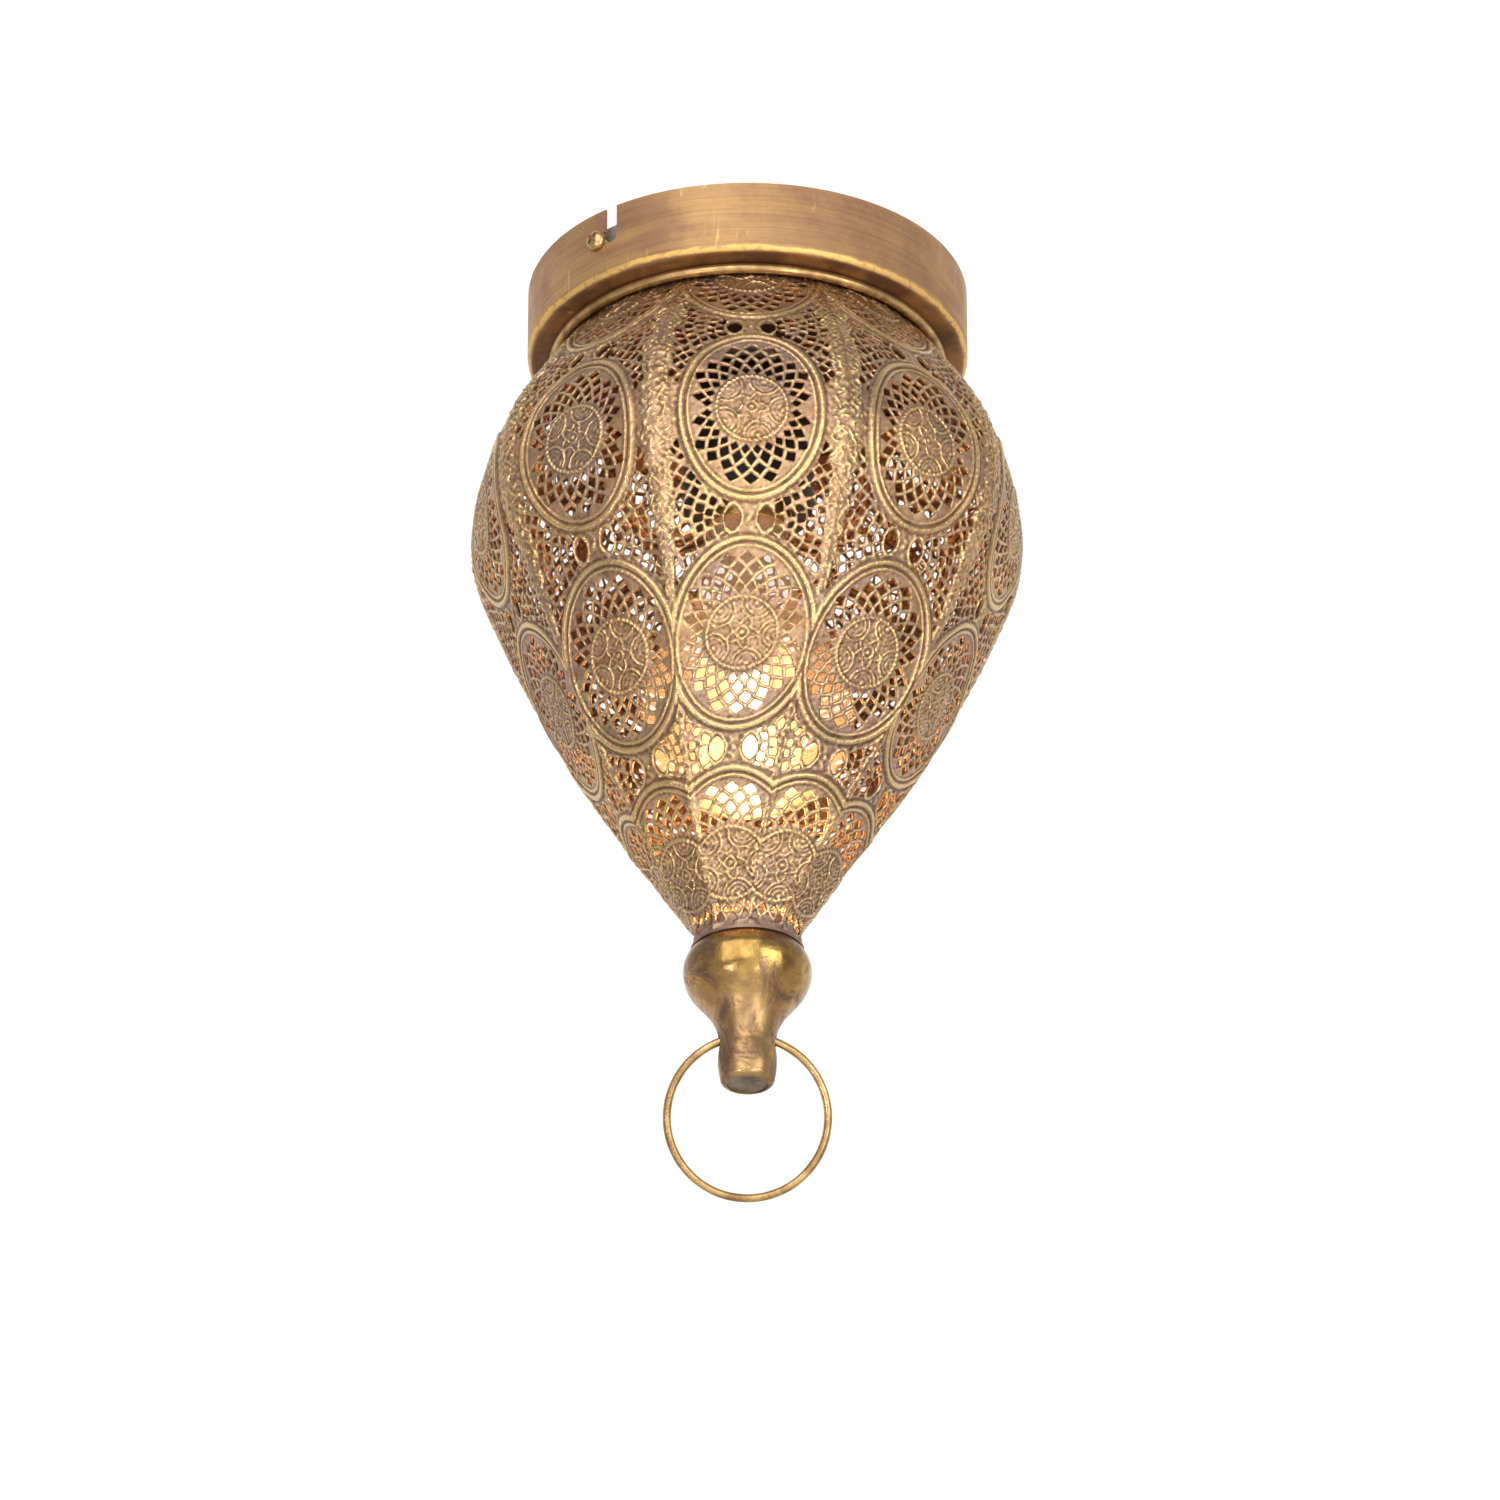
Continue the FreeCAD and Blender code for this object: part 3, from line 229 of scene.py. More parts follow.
def solid_at(u, v):
    """Above 0 in the sheet and below 0 in its holes: roughly the distance from the nearest hole."""
    w = medallion_row(v)
    radius, heading = np.hypot(u, w), np.arctan2(w, u)
    oval = oval_distance(u, w, *OVAL)
    pitch = 2 * math.pi / SPOKES
    hole = np.full_like(u, 9.0)
    for middle, tall, between, open_level in LATTICE:
        shift = pitch / 2 if between else 0
        step = np.round((heading - shift) / pitch) * pitch + shift
        aside = np.abs(heading - step) * radius
        wide = pitch / 2 * np.where(between, radius, middle)
        diamond = (aside / wide + np.abs(radius - middle) / tall - 1) / np.hypot(1 / wide, 1 / tall) + BAR
        across, down = middle * np.cos(step), middle * np.sin(step)
        outside = (across / LATTICE_OVAL[0]) ** 2 + (down / LATTICE_OVAL[1]) ** 2 > 1
        level = open_level & (np.abs(down) < 1)
        diamond = np.where(outside | level, 9.0, diamond)
        hole = np.minimum(hole, diamond)
    hole = np.maximum(hole, DISC + 0.5 - radius)

    w = bridge_row(v)
    side = np.abs(u)
    eye_round = (EYE_TALL ** 2 + EYE_HALF ** 2) / (2 * EYE_HALF)
    eye = np.hypot(np.abs(side - EYE_AT) + eye_round - EYE_HALF, w) - eye_round
    wobble_u = u + 0.45 * ripple(u, v, 9, 3)
    wobble_w = w + 0.45 * ripple(u, v, 9, 4)
    radius, heading = np.hypot(wobble_u, wobble_w), np.arctan2(wobble_w, np.abs(wobble_u))
    web = np.full_like(u, 9.0)
    for number, middle in enumerate(WEB_RINGS):
        step = math.pi / round(math.pi * middle / WEB_PITCH)
        shift = step / 2 if number % 2 else 0
        aside = np.abs(heading - shift - np.round((heading - shift) / step) * step) * radius
        uneven = 0.26 * ripple(u, v, 7, 31)
        cell_u = aside - WEB_CELL[1] - uneven + CELL_ROUND
        cell_w = np.abs(radius - middle) - WEB_CELL[0] - uneven + CELL_ROUND
        cell = np.hypot(np.clip(cell_u, 0, None), np.clip(cell_w, 0, None)) - CELL_ROUND
        cell = cell + np.clip(np.minimum(np.maximum(cell_u, cell_w), 0), -2, 0)
        web = np.minimum(web, cell)
    web = np.maximum(web, side - leaf_edge(v))
    web = np.maximum(web, np.abs(w) - ROW_PITCH / 2 + 0.4)
    web = np.maximum(np.minimum(web, eye), 0.9 - oval)
    hole = np.minimum(hole, web)
    hole = np.maximum(hole, side - half_width(v) + SEAM_MARGIN)
    hole = np.maximum(hole, v - LENGTH + LIP)
    return np.maximum(hole, 1.2 - v)


def relief_at(u, v):
    """How far the pressed sheet stands out."""
    w = medallion_row(v)
    radius, heading = np.hypot(u, w), np.arctan2(w, u)
    oval = oval_distance(u, w, *OVAL)
    rise = ridge(oval, -1.25, 1.15, 0.62) + ridge(oval, -3.5, 0.6, 0.36) - ridge(oval, -2.55, 0.45, 0.08)
    rise -= ridge(oval, 0.35, 0.5, 0.1)
    rise += 0.12 * np.clip(-oval / 2, 0, 1)
    rope = 0.74 + 0.26 * np.cos(ROPE_BEADS * heading + 2.0 * (radius - DISC))
    rise += ridge(radius, DISC - 0.6, 0.7, 0.62) * rope
    rise += np.where(radius < DISC, 0.22 * (1 - (radius / DISC) ** 2), 0)
    lens = np.full_like(u, 9.0)
    for petal in range(PETALS):
        turn = PETAL_TURN + 2 * math.pi * petal / PETALS
        lens = np.minimum(lens, np.hypot(u - PETAL_REACH * math.cos(turn), w + PETAL_REACH * math.sin(turn)))
    disc = ridge(lens, 4.6, 0.45, 0.4) + ridge(lens, 3.3, 0.4, 0.18) + ridge(lens, 2.0, 0.4, 0.14)
    disc += ridge(lens, 0, 1.0, 0.3) + ridge(radius, 0, 0.9, 0.45) + ridge(radius, 1.8, 0.45, 0.25)
    star = 3.9 + 1.1 * np.cos(PETALS * (heading + PETAL_TURN))
    disc += ridge(radius, star, 0.5, 0.34)
    veins = ripple(u, v, 4.2, 7)
    disc += 0.15 * np.clip(1 - np.abs(veins) / 0.25, 0, 1) * (radius > 5.0) * (lens > 5)
    rise += np.where(radius < DISC - 1.4, disc, 0) + 0.06 * ripple(u, v, 2.3, 53) * (radius < DISC)

    w = bridge_row(v)
    side = np.abs(u)
    rise += ridge(np.hypot(u, w), 0, 1.0, 0.6)
    rise += ridge(np.hypot((side - EYE_AT) * 1.6, w), EYE_TALL + 0.9, 0.7, 0.25)
    seam = np.clip((half_width(v) - side) / 1.6, 0, 1)
    rise += leaf_band(u, v) * seam * leaf_relief(u, v)
    rise += (0.12 * ripple(u, v, 2.6, 13) * (oval > 0) + 0.1 * ripple(u, v, 17, 17)
             + 0.05 * ripple(u, v, 1.9, 37))
    foot = np.clip((v - LENGTH + 52) / 25, 0, 1)
    rise += foot * (0.14 * ripple(u, v, 7, 43) + 0.12 * np.clip(1 - np.abs(ripple(u, v, 4, 47)) / 0.3, 0, 1))
    rounding = np.clip(1 - solid_at(u, v) / 0.5, 0, 1)
    rise -= 0.28 * rounding ** 2
    lip = np.clip((v - LENGTH + LIP) / 0.8, 0, 1)
    rise = rise * (1 - lip) + lip * (0.25 + 0.2 * ripple(u, v, 6, 19))
    return np.clip(rise, -0.6, FACE_DROP - INSET)


def leaf_relief(u, v):
    """Crumpled overlapping leaves up each seam, with slanting veins."""
    folds = np.clip(1 - np.abs(ripple(u, v, 7.5, 23)) / 0.36, 0, 1)
    veins = np.clip(1 - np.abs(ripple(u, v, 4.2, 29)) / 0.32, 0, 1)
    slant = np.cos(2 * math.pi * (v + 0.9 * np.abs(u)) / 2.6)
    return 0.12 + 0.4 * folds + 0.28 * veins + 0.06 * slant


def slope_of(function, u, v, reach=0.02):
    """The function's slope across and along."""
    across = (function(u + reach, v) - function(u - reach, v)) / (2 * reach)
    down = (function(u, v + reach) - function(u, v - reach)) / (2 * reach)
    return across, down


def sheet_region(u, v):
    """Above 0 in the sheet, below 0 in holes and beyond the gore's outline."""
    outline = np.minimum(half_width(v) - np.abs(u), np.minimum(v, LENGTH - v))
    return np.minimum(solid_at(u, v), outline)


def pull_to_edge(u, v, value, most):
    """Move points onto the region's edge along its slope, by no more than most."""
    across, down = slope_of(sheet_region, u, v)
    steep = np.maximum(across ** 2 + down ** 2, 0.25)
    move_u, move_v = -value * across / steep, -value * down / steep
    limit = np.minimum(1, most / (np.hypot(move_u, move_v) + 1e-9))
    return u + move_u * limit, v + move_v * limit


def flat_triangles():
    """The flat pattern as (u, v, triangles): a grid of triangles cut along the edges of the holes."""
    widest = float(half_width(ALONG).max())
    rows = int((LENGTH + 2 * GRID) / (GRID * math.sqrt(3) / 2)) + 1
    columns = int((2 * widest + 2 * GRID) / GRID) + 1
    row, column = np.meshgrid(np.arange(rows), np.arange(columns), indexing="ij")
    u = (-widest - GRID + (column + 0.5 * (row % 2)) * GRID).ravel()
    v = (-GRID + row * GRID * math.sqrt(3) / 2).ravel()
    corner = (row * columns + column)[:-1, :-1]
    even = (corner // columns % 2 == 0)
    right, below = corner + 1, corner + columns
    opposite = below + 1
    first = np.where(even[..., None], np.stack([corner, below, right], -1),
                     np.stack([corner, below, opposite], -1))
    second = np.where(even[..., None], np.stack([right, below, opposite], -1),
                      np.stack([corner, opposite, right], -1))
    triangles = np.concatenate([first.reshape(-1, 3), second.reshape(-1, 3)])

    value = sheet_region(u, v)
    near = np.abs(value) < 0.3 * GRID
    u[near], v[near] = pull_to_edge(u[near], v[near], value[near], 0.32 * GRID)
    value[near] = 0

    signs = np.sign(value[triangles])
    whole = (signs >= 0).all(1) & (signs > 0).any(1)
    level = (signs == 0).all(1)
    middle_u, middle_v = u[triangles].mean(1), v[triangles].mean(1)
    whole |= level & (sheet_region(middle_u, middle_v) > 0)
    mixed = triangles[(signs > 0).any(1) & (signs < 0).any(1)]
    kept = [triangles[whole]]
    cuts = []                       # the two ends of each cut edge

    def cut_point(one, other):
        """The number that a cut point will have: below 0 until the points are made."""
        cuts.append(np.column_stack([np.minimum(one, other), np.maximum(one, other)]))
        return -1 - (sum(len(c) for c in cuts[:-1]) + np.arange(len(one)))

    for turn in range(3):
        a, b, c = np.roll(mixed, -turn, axis=1).T
        sa, sb, sc = np.sign(value[a]), np.sign(value[b]), np.sign(value[c])
        pick = (sa > 0) & (sb > 0) & (sc < 0)
        bc, ca = cut_point(b[pick], c[pick]), cut_point(c[pick], a[pick])
        kept += [np.column_stack([a[pick], b[pick], bc]), np.column_stack([a[pick], bc, ca])]
        pick = (sa > 0) & (sb < 0) & (sc < 0)
        ab, ca = cut_point(a[pick], b[pick]), cut_point(c[pick], a[pick])
        kept.append(np.column_stack([a[pick], ab, ca]))
        pick = (sa > 0) & (sb < 0) & (sc == 0)
        kept.append(np.column_stack([a[pick], cut_point(a[pick], b[pick]), c[pick]]))
        pick = (sa > 0) & (sb == 0) & (sc < 0)
        kept.append(np.column_stack([a[pick], b[pick], cut_point(c[pick], a[pick])]))
    triangles = np.concatenate(kept)
    edges, number = np.unique(np.concatenate(cuts), axis=0, return_inverse=True)
    number = number.ravel()
    below_zero = triangles < 0
    triangles[below_zero] = len(u) + number[-1 - triangles[below_zero]]
    one, other = edges.T
    share = value[one] / (value[one] - value[other])
    cut_u = u[one] + (u[other] - u[one]) * share
    cut_v = v[one] + (v[other] - v[one]) * share
    cut_u, cut_v = pull_to_edge(cut_u, cut_v, sheet_region(cut_u, cut_v), 0.25 * GRID)
    u, v = np.concatenate([u, cut_u]), np.concatenate([v, cut_v])
    used, triangles = np.unique(triangles, return_inverse=True)
    return u[used], v[used], largest_sheet(triangles.reshape(-1, 3), len(used))


def largest_sheet(triangles, count):
    """Only the triangles that hang together in the largest piece, so that no crumb floats in a hole."""
    label = np.arange(count)
    while True:
        lowest = label[triangles].min(1)
        updated = label.copy()
        for corner in range(3):
            np.minimum.at(updated, triangles[:, corner], lowest)
        updated = updated[updated]
        if (updated == label).all():
            break
        label = updated
    names, sizes = np.unique(label[triangles[:, 0]], return_counts=True)
    return triangles[label[triangles[:, 0]] == names[sizes.argmax()]]


def gore_mesh():
    """Points, faces and crests of the front gore as a closed thin sheet, in metres."""
    u, v, triangles = flat_triangles()
    used, triangles = np.unique(triangles, return_inverse=True)
    triangles = triangles.reshape(-1, 3)
    u, v = u[used], v[used]
    relief = relief_at(u, v)
    lap = np.clip(1 - (u + half_width(v)) / LAP_WIDE, 0, 1)
    around = [(CREST_REACH, 0), (-CREST_REACH, 0), (0, CREST_REACH), (0, -CREST_REACH)]
    crest = relief - sum(relief_at(u + across, v + down) for across, down in around) / len(around)
    # stronger crests lower down and in the leaf band: more gold and darker grooves there, partly painted
    # light
    crest = crest * (1 + 0.2 * np.clip((v - FIRST_ROW - 60) / 40, 0, 1)) + 0.05 * leaf_band(u, v)
    rise = relief - FACE_DROP + LAP_RISE * lap
    near_seam = np.clip(1 - (half_width(v) - np.abs(u)) / SEAM_REACH, 0, 1)
    rise = np.minimum(rise, -INSET - SEAM_TUCK * near_seam)
    outer, inner = on_gore(u, v, rise), on_gore(u, v, rise - SHEET)
    a, b, c = (outer[triangles[:, corner]] for corner in range(3))
    facing = np.einsum("ij,ij->i", np.cross(b - a, c - a), (a + b + c) * np.array([1, 1, 0]))
    if np.median(facing) < 0:
        triangles = triangles[:, ::-1]
    directed = np.concatenate([triangles[:, [0, 1]], triangles[:, [1, 2]], triangles[:, [2, 0]]])
    key = directed[:, 0].astype(np.int64) * len(u) + directed[:, 1]
    back = directed[:, 1].astype(np.int64) * len(u) + directed[:, 0]
    rim = directed[~np.isin(key, back)]
    count = len(u)
    walls = np.concatenate([
        np.column_stack([rim[:, 1], rim[:, 0], rim[:, 0] + count]),
        np.column_stack([rim[:, 1], rim[:, 0] + count, rim[:, 1] + count]),
    ])
    faces = np.concatenate([triangles, triangles[:, ::-1] + count, walls])
    # the inner face gets the crests turned over and lowered, so more of it takes the dark groove colour
    return np.concatenate([outer, inner]) * MM, faces, np.concatenate([crest, -0.5 * crest - 0.1])


# ------------------------------------------------------------------ making pieces


def mesh_piece(name, points, faces, body, material, crest=None):
    """A mesh object that rides on a CAD body."""
    mesh = bpy.data.meshes.new(name)
    mesh.vertices.add(len(points))
    mesh.vertices.foreach_set("co", np.asarray(points, np.float32).ravel())
    sides = faces.shape[1]
    mesh.loops.add(faces.size)
    mesh.loops.foreach_set("vertex_index", faces.astype(np.int32).ravel())
    mesh.polygons.add(len(faces))
    mesh.polygons.foreach_set("loop_start", np.arange(0, faces.size, sides, dtype=np.int32))
    mesh.polygons.foreach_set("loop_total", np.full(len(faces), sides, np.int32))
    mesh.update(calc_edges=True)
    mesh.validate()
    mesh.polygons.foreach_set("use_smooth", np.ones(len(mesh.polygons), bool))
    mesh.set_sharp_from_angle(angle=SHARP_ANGLE)
    if crest is not None:
        attribute = mesh.attributes.new("crest", "FLOAT", "POINT")
        attribute.data.foreach_set("value", crest.astype(np.float32))
    mesh.materials.append(material)
    piece = bpy.data.objects.new(name, mesh)
    bpy.context.scene.collection.objects.link(piece)
    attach(piece, body)
    return piece


# ------------------------------------------------------------------ materials


class Nodes:
    """A material's node tree with short calls for the nodes used here."""

    def __init__(self, name):
        self.material = bpy.data.materials.new(name)
        self.material.use_nodes = True
        self.tree = self.material.node_tree
        self.shader = self.tree.nodes["Principled BSDF"]
        self.place = self.add("ShaderNodeTexCoord").outputs["Object"]

    def add(self, kind, **settings):
        node = self.tree.nodes.new(kind)
        for key, value in settings.items():
            setattr(node, key, value)
        return node

    def link(self, output, node, socket):
        self.tree.links.new(output, node.inputs[socket])

    def put(self, node, socket, value):
        """A number, a colour or another node's output, into a socket."""
        if isinstance(value, bpy.types.NodeSocket):
            self.link(value, node, socket)
        elif isinstance(value, tuple):
            node.inputs[socket].default_value = (*value, 1)
        else:
            node.inputs[socket].default_value = value

    def stretched(self, scale):
        """The piece's own coordinates, scaled apart on each axis."""
        node = self.add("ShaderNodeMapping")
        self.link(self.place, node, "Vector")
        node.inputs["Scale"].default_value = scale
        return node.outputs["Vector"]

    def noise(self, scale, detail=4, rough=0.6, place=None, warp=0.0):
        node = self.add("ShaderNodeTexNoise")
        self.link(place or self.place, node, "Vector")
        node.inputs["Scale"].default_value = scale
        node.inputs["Detail"].default_value = detail
        node.inputs["Roughness"].default_value = rough
        node.inputs["Distortion"].default_value = warp
        return node.outputs["Fac"]

    def ramp(self, value, low, high, bottom=0.0, top=1.0):
        """Value from low to high becomes bottom to top, smoothly and clamped."""
        node = self.add("ShaderNodeMapRange", interpolation_type="SMOOTHSTEP")
        self.link(value, node, "Value")
        for socket, number in (("From Min", low), ("From Max", high), ("To Min", bottom), ("To Max", top)):
            node.inputs[socket].default_value = number
        return node.outputs["Result"]

    def mix(self, share, first, second):
        """A blend of two colours."""
        node = self.add("ShaderNodeMixRGB")
        self.put(node, "Fac", share)
        self.put(node, "Color1", first)
        self.put(node, "Color2", second)
        return node.outputs["Color"]

    def maths(self, operation, first, second):
        node = self.add("ShaderNodeMath", operation=operation)
        for number, value in enumerate((first, second)):
            self.put(node, number, value)
        return node.outputs["Value"]

    def attribute(self, name):
        return self.add("ShaderNodeAttribute", attribute_name=name).outputs["Fac"]

    def axis(self, letter):
        node = self.add("ShaderNodeSeparateXYZ")
        self.link(self.place, node, "Vector")
        return node.outputs[letter]

    def radius(self):
        """Distance from the lamp's axis."""
        across, back = self.axis("X"), self.axis("Y")
        square = self.maths("ADD", self.maths("MULTIPLY", across, across), self.maths("MULTIPLY", back, back))
        return self.maths("SQRT", square, 0.0)

    def bump(self, heights, distance):
        """Bump from several (height, strength) pairs, one after another."""
        normal = None
        for height, strength in heights:
            node = self.add("ShaderNodeBump")
            node.inputs["Strength"].default_value = strength
            node.inputs["Distance"].default_value = distance
            self.link(height, node, "Height")
            if normal is not None:
                self.link(normal, node, "Normal")
            normal = node.outputs["Normal"]
        self.link(normal, self.shader, "Normal")

    def finish(self, color, rough, metal):
        self.put(self.shader, "Base Color", color)
        self.put(self.shader, "Roughness", rough)
        self.put(self.shader, "Metallic", metal)
        return self.material


def srgb(red, green, blue):
    """A colour given as it looks on a screen, 0 to 255, as linear values."""
    def linear(value):
        value /= 255
        return value / 12.92 if value <= 0.04045 else ((value + 0.055) / 1.055) ** 2.4
    return linear(red), linear(green), linear(blue)


PATINA = srgb(197, 160, 125)
PATINA_BROWN = srgb(160, 124, 90)
FOOT_GREY = srgb(134, 110, 100)
PATINA_GREY = srgb(156, 128, 114)
# dark brown for grain and grooves: patina, and in the grooves also painted shade
DARK_PATINA_AND_SHADE = srgb(92, 66, 44)
# gold for the crests: worn brass, and also a painted highlight
GOLD = srgb(226, 192, 130)


def shade_material():
    """Brown patina, dark in the grooves as patina and painted shade, with gold on the crests as wear and
    painted highlight.
    """
    n = Nodes("shade_brass")
    crest = n.attribute("crest")
    cloud = n.noise(30, 5, 0.6)
    speck = n.noise(1300, 3, 0.8)
    color = n.mix(n.ramp(n.noise(150, 5, 0.7), 0.36, 0.66), PATINA, PATINA_BROWN)
    color = n.mix(n.ramp(n.noise(24, 4, 0.6, None, 0.5), 0.44, 0.62, 0, 0.7), color, PATINA_GREY)
    grain = n.noise(480, 4, 0.8)
    color = n.mix(n.ramp(grain, 0.5, 0.64, 0, 0.5), color, DARK_PATINA_AND_SHADE)
    # gold on the crests: brass worn through, and a painted highlight on the ridges
    wear_and_highlight = n.maths("ADD", n.ramp(crest, 0.0, 0.2, 0, 0.9), n.ramp(cloud, 0.4, 0.7, -0.2, 0.35))
    wear_and_highlight = n.maths("MULTIPLY", n.ramp(wear_and_highlight, 0.05, 0.9), n.ramp(speck, 0.3, 0.6, 0.35, 1.0))
    color = n.mix(wear_and_highlight, color, GOLD)
    # darker in the grooves: patina, and painted shade in the recesses
    color = n.mix(n.ramp(crest, -0.02, -0.18, 0, 0.62), color, DARK_PATINA_AND_SHADE)
    color = n.mix(n.ramp(n.axis("Z"), -0.2285, -0.2305, 0, 0.7), color, FOOT_GREY)
    n.bump([(speck, 0.35), (grain, 0.5)], 0.0004)
    return n.finish(color, n.ramp(crest, -0.1, 0.18, 0.48, 0.24), 0.92)


def canopy_material():
    """Brushed brown-pink brass with fine level lines, scratches, a broken golden line along its lower edge,
    worn brass and a painted highlight on the bend, and a darker brown underside, partly painted shade."""
    n = Nodes("canopy_brass")
    lines = n.noise(1, 4, 0.7, n.stretched((14, 14, 900)))
    streaks = n.noise(1, 4, 0.6, n.stretched((22, 22, 160)))
    cloud = n.noise(34, 6, 0.7)
    color = n.mix(n.ramp(cloud, 0.36, 0.64), srgb(192, 151, 106), srgb(168, 128, 96))
    color = n.mix(n.ramp(streaks, 0.45, 0.7, 0, 0.5), color, srgb(208, 166, 104))
    color = n.mix(n.ramp(lines, 0.42, 0.7, 0, 0.35), color, srgb(134, 98, 74))
    scratch = n.noise(1, 2, 0.5, n.stretched((240, 240, 40)), 1.5)
    color = n.mix(n.ramp(scratch, 0.66, 0.74, 0, 0.5), color, srgb(230, 194, 140))
    # a golden line on the lower edge, broken up by noise: worn brass and a painted highlight on the bend
    edge_wear_and_highlight = n.ramp(n.noise(420, 5), 0.3, 0.5)
    waver = n.ramp(n.noise(90, 3), 0.3, 0.7, -0.0005, 0.0005)
    height = n.maths("ADD", n.axis("Z"), waver)
    edge = n.maths("MULTIPLY", n.ramp(height, -0.0222, -0.0231), n.ramp(height, -0.0245, -0.0239))
    color = n.mix(n.maths("MULTIPLY", edge, edge_wear_and_highlight), color, srgb(232, 190, 112))
    # the underside is a darker brown: its own brown, and painted shade under the canopy
    under = n.maths("MULTIPLY", n.ramp(n.radius(), 0.0692, 0.0682), n.ramp(n.axis("Z"), -0.0226, -0.0238))
    brown = n.mix(n.ramp(n.noise(60, 4), 0.35, 0.65), srgb(122, 90, 64), srgb(170, 128, 84))
    color = n.mix(under, color, brown)
    n.bump([(lines, 0.2), (n.noise(45, 3), 0.3), (scratch, 0.1)], 0.0005)
    return n.finish(color, n.ramp(cloud, 0.3, 0.7, 0.5, 0.64), 0.86)


def finial_material():
    """Golden brass with purple-brown blotches of patina and a paler, pinker neck."""
    n = Nodes("finial_brass")
    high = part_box("finial_onion")[1]
    blotch = n.noise(75, 6, 0.74, None, 0.9)
    color = n.mix(n.ramp(n.noise(150, 5), 0.34, 0.66), srgb(190, 154, 86), srgb(146, 110, 62))
    lower = n.ramp(n.axis("Z"), high.z - 0.010, high.z - 0.024)
    color = n.mix(n.maths("MULTIPLY", lower, 0.6), color, srgb(176, 142, 104))
    color = n.mix(n.ramp(blotch, 0.45, 0.62, 0, 0.85), color, srgb(112, 82, 70))
    rubbed = n.noise(1, 3, 0.6, n.stretched((60, 60, 500)))
    color = n.mix(n.ramp(rubbed, 0.6, 0.72, 0, 0.4), color, srgb(128, 94, 60))
    n.bump([(n.noise(75, 2), 0.8), (n.noise(500, 3), 0.12)], 0.0007)
    rough = n.maths("ADD", n.ramp(blotch, 0.4, 0.66, 0.18, 0.42), n.maths("MULTIPLY", lower, 0.13))
    return n.finish(color, rough, 0.92)


def plain_metal(name, first, second, rough, scale=180, metal=0.9):
    """Metal with colour and gloss that vary a little."""
    n = Nodes(name)
    color = n.mix(n.ramp(n.noise(scale, 5, 0.65), 0.32, 0.68), first, second)
    n.bump([(n.noise(scale * 3, 3), 0.25)], 0.0004)
    return n.finish(color, n.ramp(n.noise(scale, 3), 0.3, 0.7, rough - 0.08, rough + 0.1), metal)


def glass_material():
    """The bulb's clear glass, with a faint haze of light in it."""
    n = Nodes("bulb_glass")
    lower = n.ramp(n.axis("Z"), -0.135, -0.17, 0.1, 1.0)
    haze = n.maths("ADD", lower, n.ramp(n.noise(70, 3), 0.3, 0.7, 0.0, 0.1))
    n.link(haze, n.shader, "Emission Strength")
    n.put(n.shader, "Emission Color", (1.0, 0.5, 0.18))
    n.put(n.shader, "Alpha", 0.12)
    return n.finish(n.mix(n.ramp(n.noise(50, 3), 0.3, 0.7), srgb(240, 226, 200), srgb(250, 240, 222)),
                    n.ramp(n.noise(90, 2), 0.3, 0.7, 0.08, 0.16), 0.0)


def glow_material(name, strength, glow, alpha):
    """Something white-hot or lit from within in the bulb."""
    n = Nodes(name)
    n.link(n.ramp(n.noise(60, 2), 0.3, 0.7, strength * 0.88, strength * 1.12), n.shader, "Emission Strength")
    n.put(n.shader, "Emission Color", glow)
    n.put(n.shader, "Alpha", alpha)
    return n.finish(n.mix(n.ramp(n.noise(60, 3), 0.3, 0.7), srgb(238, 226, 204), srgb(250, 242, 226)),
                    n.ramp(n.noise(90, 2), 0.3, 0.7, 0.3, 0.4), 0.0)


brass_shade = shade_material()
looks = {
    "shade_brass": brass_shade,
    "canopy_brass": canopy_material(),
    "finial_brass": finial_material(),
    "bright_brass": plain_metal("bright_brass", srgb(212, 178, 120), srgb(150, 114, 74), 0.34, 110),
    "dull_metal": plain_metal("dull_metal", srgb(150, 134, 112), srgb(112, 92, 72), 0.45),
    "contact_brass": plain_metal("contact_brass", srgb(226, 190, 120), srgb(196, 156, 92), 0.3),
    "zinc_steel": plain_metal("zinc_steel", srgb(214, 216, 220), srgb(178, 180, 184), 0.38),
    "solder": plain_metal("solder", srgb(190, 192, 194), srgb(150, 152, 156), 0.4),
    "tungsten": plain_metal("tungsten", srgb(150, 146, 140), srgb(110, 106, 102), 0.4),
    "black_phenolic": plain_metal("black_phenolic", srgb(24, 23, 22), srgb(38, 36, 34), 0.45, 120, 0.0),
    "white_plastic": plain_metal("white_plastic", srgb(232, 232, 226), srgb(214, 212, 204), 0.45, 120, 0.0),
    "lead_brown": plain_metal("lead_brown", srgb(92, 56, 34), srgb(74, 44, 28), 0.5, 160, 0.0),
    "lead_blue": plain_metal("lead_blue", srgb(48, 94, 168), srgb(38, 76, 142), 0.5, 160, 0.0),
    "lead_green": plain_metal("lead_green", srgb(92, 150, 56), srgb(196, 186, 52), 0.5, 60, 0.0),
    # the heat shield's dark brown is partly painted shade: it keeps the holes high in the shade dark
    "shield_fibre": plain_metal("shield_fibre", srgb(88, 60, 42), srgb(64, 42, 30), 0.7, 90, 0.0),
    "bulb_glass": glass_material(),
}
for entry in frame["record"]["subparts"]:
    node = frame["nodes"][entry["node"]]
    node.data.materials.clear()
    node.data.materials.append(looks[entry["material_slot"]])

# ------------------------------------------------------------------ the shade

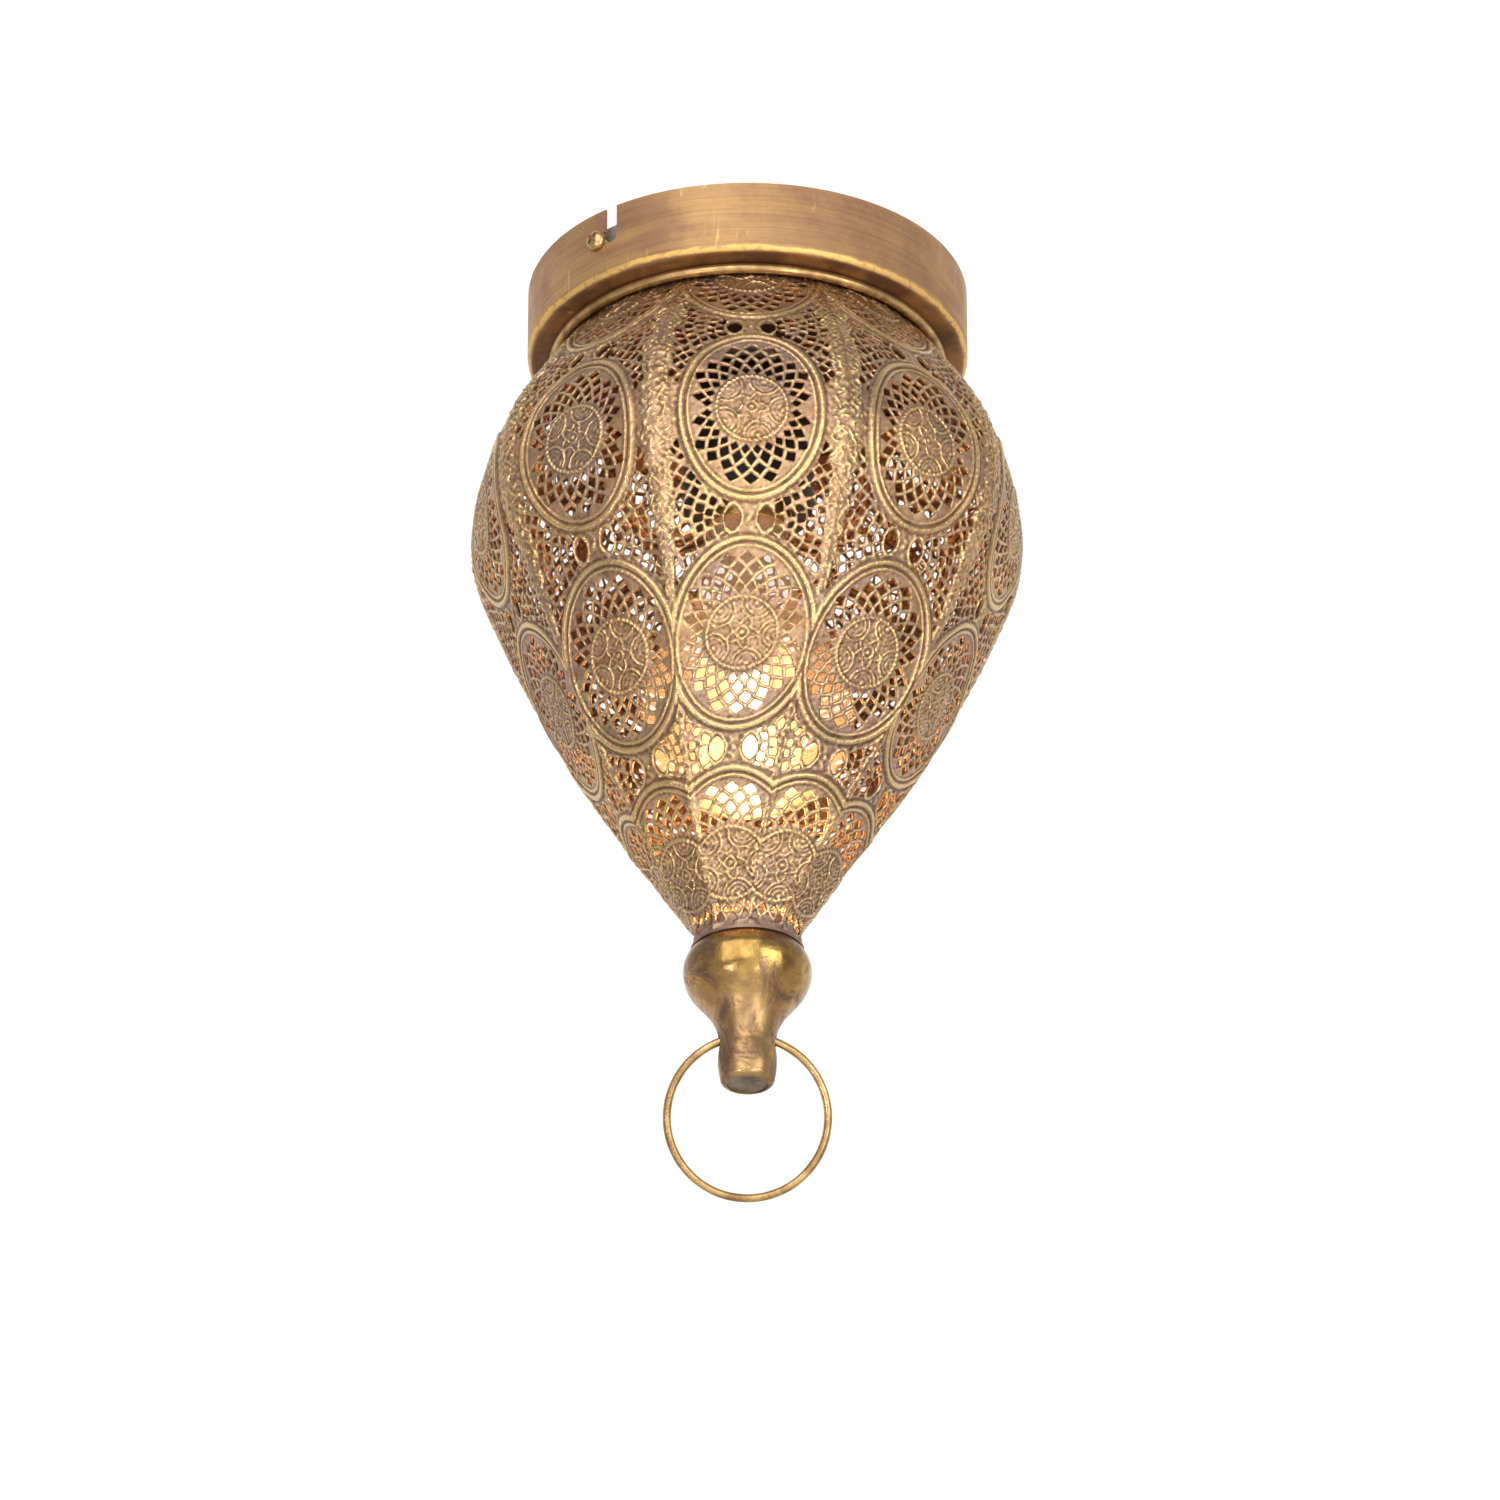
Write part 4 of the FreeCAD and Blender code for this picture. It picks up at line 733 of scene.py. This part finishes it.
points, faces, crest = gore_mesh()
for number in range(GORES):
    turn = 2 * math.pi * number / GORES
    spin = np.array([[math.cos(turn), -math.sin(turn), 0], [math.sin(turn), math.cos(turn), 0], [0, 0, 1]])
    gore = mesh_piece(f"filigree_gore_{number + 1}", points @ spin.T, faces, "canopy_assembly",
                      brass_shade, crest)
    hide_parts(f"shade_panel_{number + 1}")
assert len(faces) < 200000, len(faces)

# ------------------------------------------------------------------ the glowing capsule in the bulb


def turned_faces(rings, around):
    """Faces of a turned skin that join each ring to the next; the first and last rings are not closed."""
    faces = []
    for ring in range(rings - 1):
        for step in range(around):
            a, b = ring * around + step, ring * around + (step + 1) % around
            faces += [(a, a + around, b), (b, a + around, b + around)]
    return faces


def capsule_piece(name, radius, low, high, material):
    """An upright capsule with blunt ends inside the bulb."""
    around, steps = 40, 8
    line = []
    for step in range(steps + 1):
        angle = step / steps * math.pi / 2
        line.append((radius * math.sin(angle) + 1e-5, low + radius * 0.7 * (1 - math.cos(angle))))
    line += [(reach, low + high - height) for reach, height in reversed(line)]
    points = np.array([
        (reach * math.cos(2 * math.pi * step / around), reach * math.sin(2 * math.pi * step / around), height)
        for reach, height in line for step in range(around)])
    faces = np.array(turned_faces(len(line), around))[:, ::-1]
    return mesh_piece(name, points, faces, "bulb", material)


bulb_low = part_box("bulb_glass")[0].z
capsule = capsule_piece("bulb_capsule", 6.4 * MM, bulb_low + 4 * MM, bulb_low + 51 * MM,
                        glow_material("capsule_glow", 9.0, (1.0, 0.58, 0.28), 1.0))
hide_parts("bulb_filament", "bulb_supports")
capsule_piece("bulb_sleeve", 16.5 * MM, bulb_low + 2.5 * MM, bulb_low + 57 * MM,
              glow_material("sleeve_glow", 0.85, (1.0, 0.52, 0.2), 0.3))

# ------------------------------------------------------------------ light, floor and camera

scene = bpy.context.scene
scene.view_settings.view_transform = "Standard"
scene.view_settings.look = "None"


def lamp(name, place, target, size, watts):
    """A square soft light aimed at a point."""
    data = bpy.data.lights.new(name, "AREA")
    data.size = size
    data.energy = watts
    light = bpy.data.objects.new(name, data)
    scene.collection.objects.link(light)
    light.location = place
    light.rotation_mode = "QUATERNION"
    light.rotation_quaternion = (Vector(place) - target).to_track_quat("Z", "Y")


AIM = Vector((0.00078, 0, -0.1638))
DISTANCE = 2.85
ELEVATION = math.radians(28.36)
backward = Vector((0, -math.cos(ELEVATION), -math.sin(ELEVATION)))
camera_place = AIM + backward * DISTANCE


GLINT_REACH = 1.3           # a glint's lamp stands this far from the finial
WIDEST_DROP = 7 * MM        # the finial is widest this far below its top


def glint(name, turn, lift, size, watts):
    """A small lamp whose reflection stands on the finial, turn degrees to the right of its front
    and lift degrees above its widest line."""
    low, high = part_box("finial_onion")
    turn, lift = math.radians(turn), math.radians(lift)
    normal = Vector((math.sin(turn) * math.cos(lift), -math.cos(turn) * math.cos(lift), math.sin(lift)))
    point = Vector((0, 0, high.z - WIDEST_DROP)) + normal * (high.x - low.x) / 2
    view = (camera_place - point).normalized()
    lamp(name, point + (normal * (2 * normal.dot(view)) - view) * GLINT_REACH, point, size, watts)


lamp_low, lamp_high = Vector(cad_box[0]), Vector(cad_box[1])
middle = (lamp_low + lamp_high) / 2
lamp("key", (-0.5, -1.95, 0.4), middle, 2.2, 33)
lamp("fill", (1.3, -1.5, -0.3), middle, 1.2, 16)
glint("glint_left", -16, -30, 0.12, 2.6)
glint("glint_right", 14, -30, 0.11, 2.3)
lamp("low", (0.3, -1.5, -1.2), middle, 1.8, 4.5)


def glow(name, place, watts):
    """A small warm light without a visible body, inside the shade."""
    data = bpy.data.lights.new(name, "POINT")
    data.energy = watts
    data.color = (1.0, 0.5, 0.18)
    data.shadow_soft_size = 0.012
    light = bpy.data.objects.new(name, data)
    scene.collection.objects.link(light)
    light.location = place
    light.visible_camera = False


glow("glow_low", (0, 0, bulb_low - 7 * MM), 0.24)
glow("glow_back", (0, 23 * MM, bulb_low + 20 * MM), 0.16)

world = bpy.data.worlds.new("studio")
scene.world = world
world.use_nodes = True
tree = world.node_tree
background = tree.nodes["Background"]
coordinates = tree.nodes.new("ShaderNodeTexCoord")
split = tree.nodes.new("ShaderNodeSeparateXYZ")
tree.links.new(coordinates.outputs["Generated"], split.inputs["Vector"])
shadow_side = tree.nodes.new("ShaderNodeMapRange")
tree.links.new(split.outputs["Y"], shadow_side.inputs["Value"])
for socket, number in (("From Min", -0.2), ("From Max", 0.6), ("To Min", 0.37), ("To Max", 1.05)):
    shadow_side.inputs[socket].default_value = number
tree.links.new(shadow_side.outputs["Result"], background.inputs["Strength"])
background.inputs["Color"].default_value = (1, 1, 1, 1)

FLOOR_Z = -1.75
FLOOR_HALF = 4.0
floor_points = np.array([(x, y, 0) for y in (-1, 1) for x in (-1, 1)], float) * FLOOR_HALF
floor_points[:, 2] = FLOOR_Z
floor_mesh = bpy.data.meshes.new("floor")
floor_mesh.from_pydata(floor_points.tolist(), [], [(0, 1, 3, 2)])
floor_mesh.materials.append(plain_metal("floor", srgb(236, 235, 232), srgb(230, 229, 226), 0.8, 3, 0.0))
floor = bpy.data.objects.new("floor", floor_mesh)
scene.collection.objects.link(floor)

camera_data = bpy.data.cameras.new("camera")
camera_data.lens = 220.0
camera_data.sensor_width = 36
camera_data.clip_end = 50
camera = bpy.data.objects.new("camera", camera_data)
scene.collection.objects.link(camera)
camera.location = camera_place
camera.rotation_mode = "QUATERNION"
camera.rotation_quaternion = backward.to_track_quat("Z", "Y")
scene.camera = camera
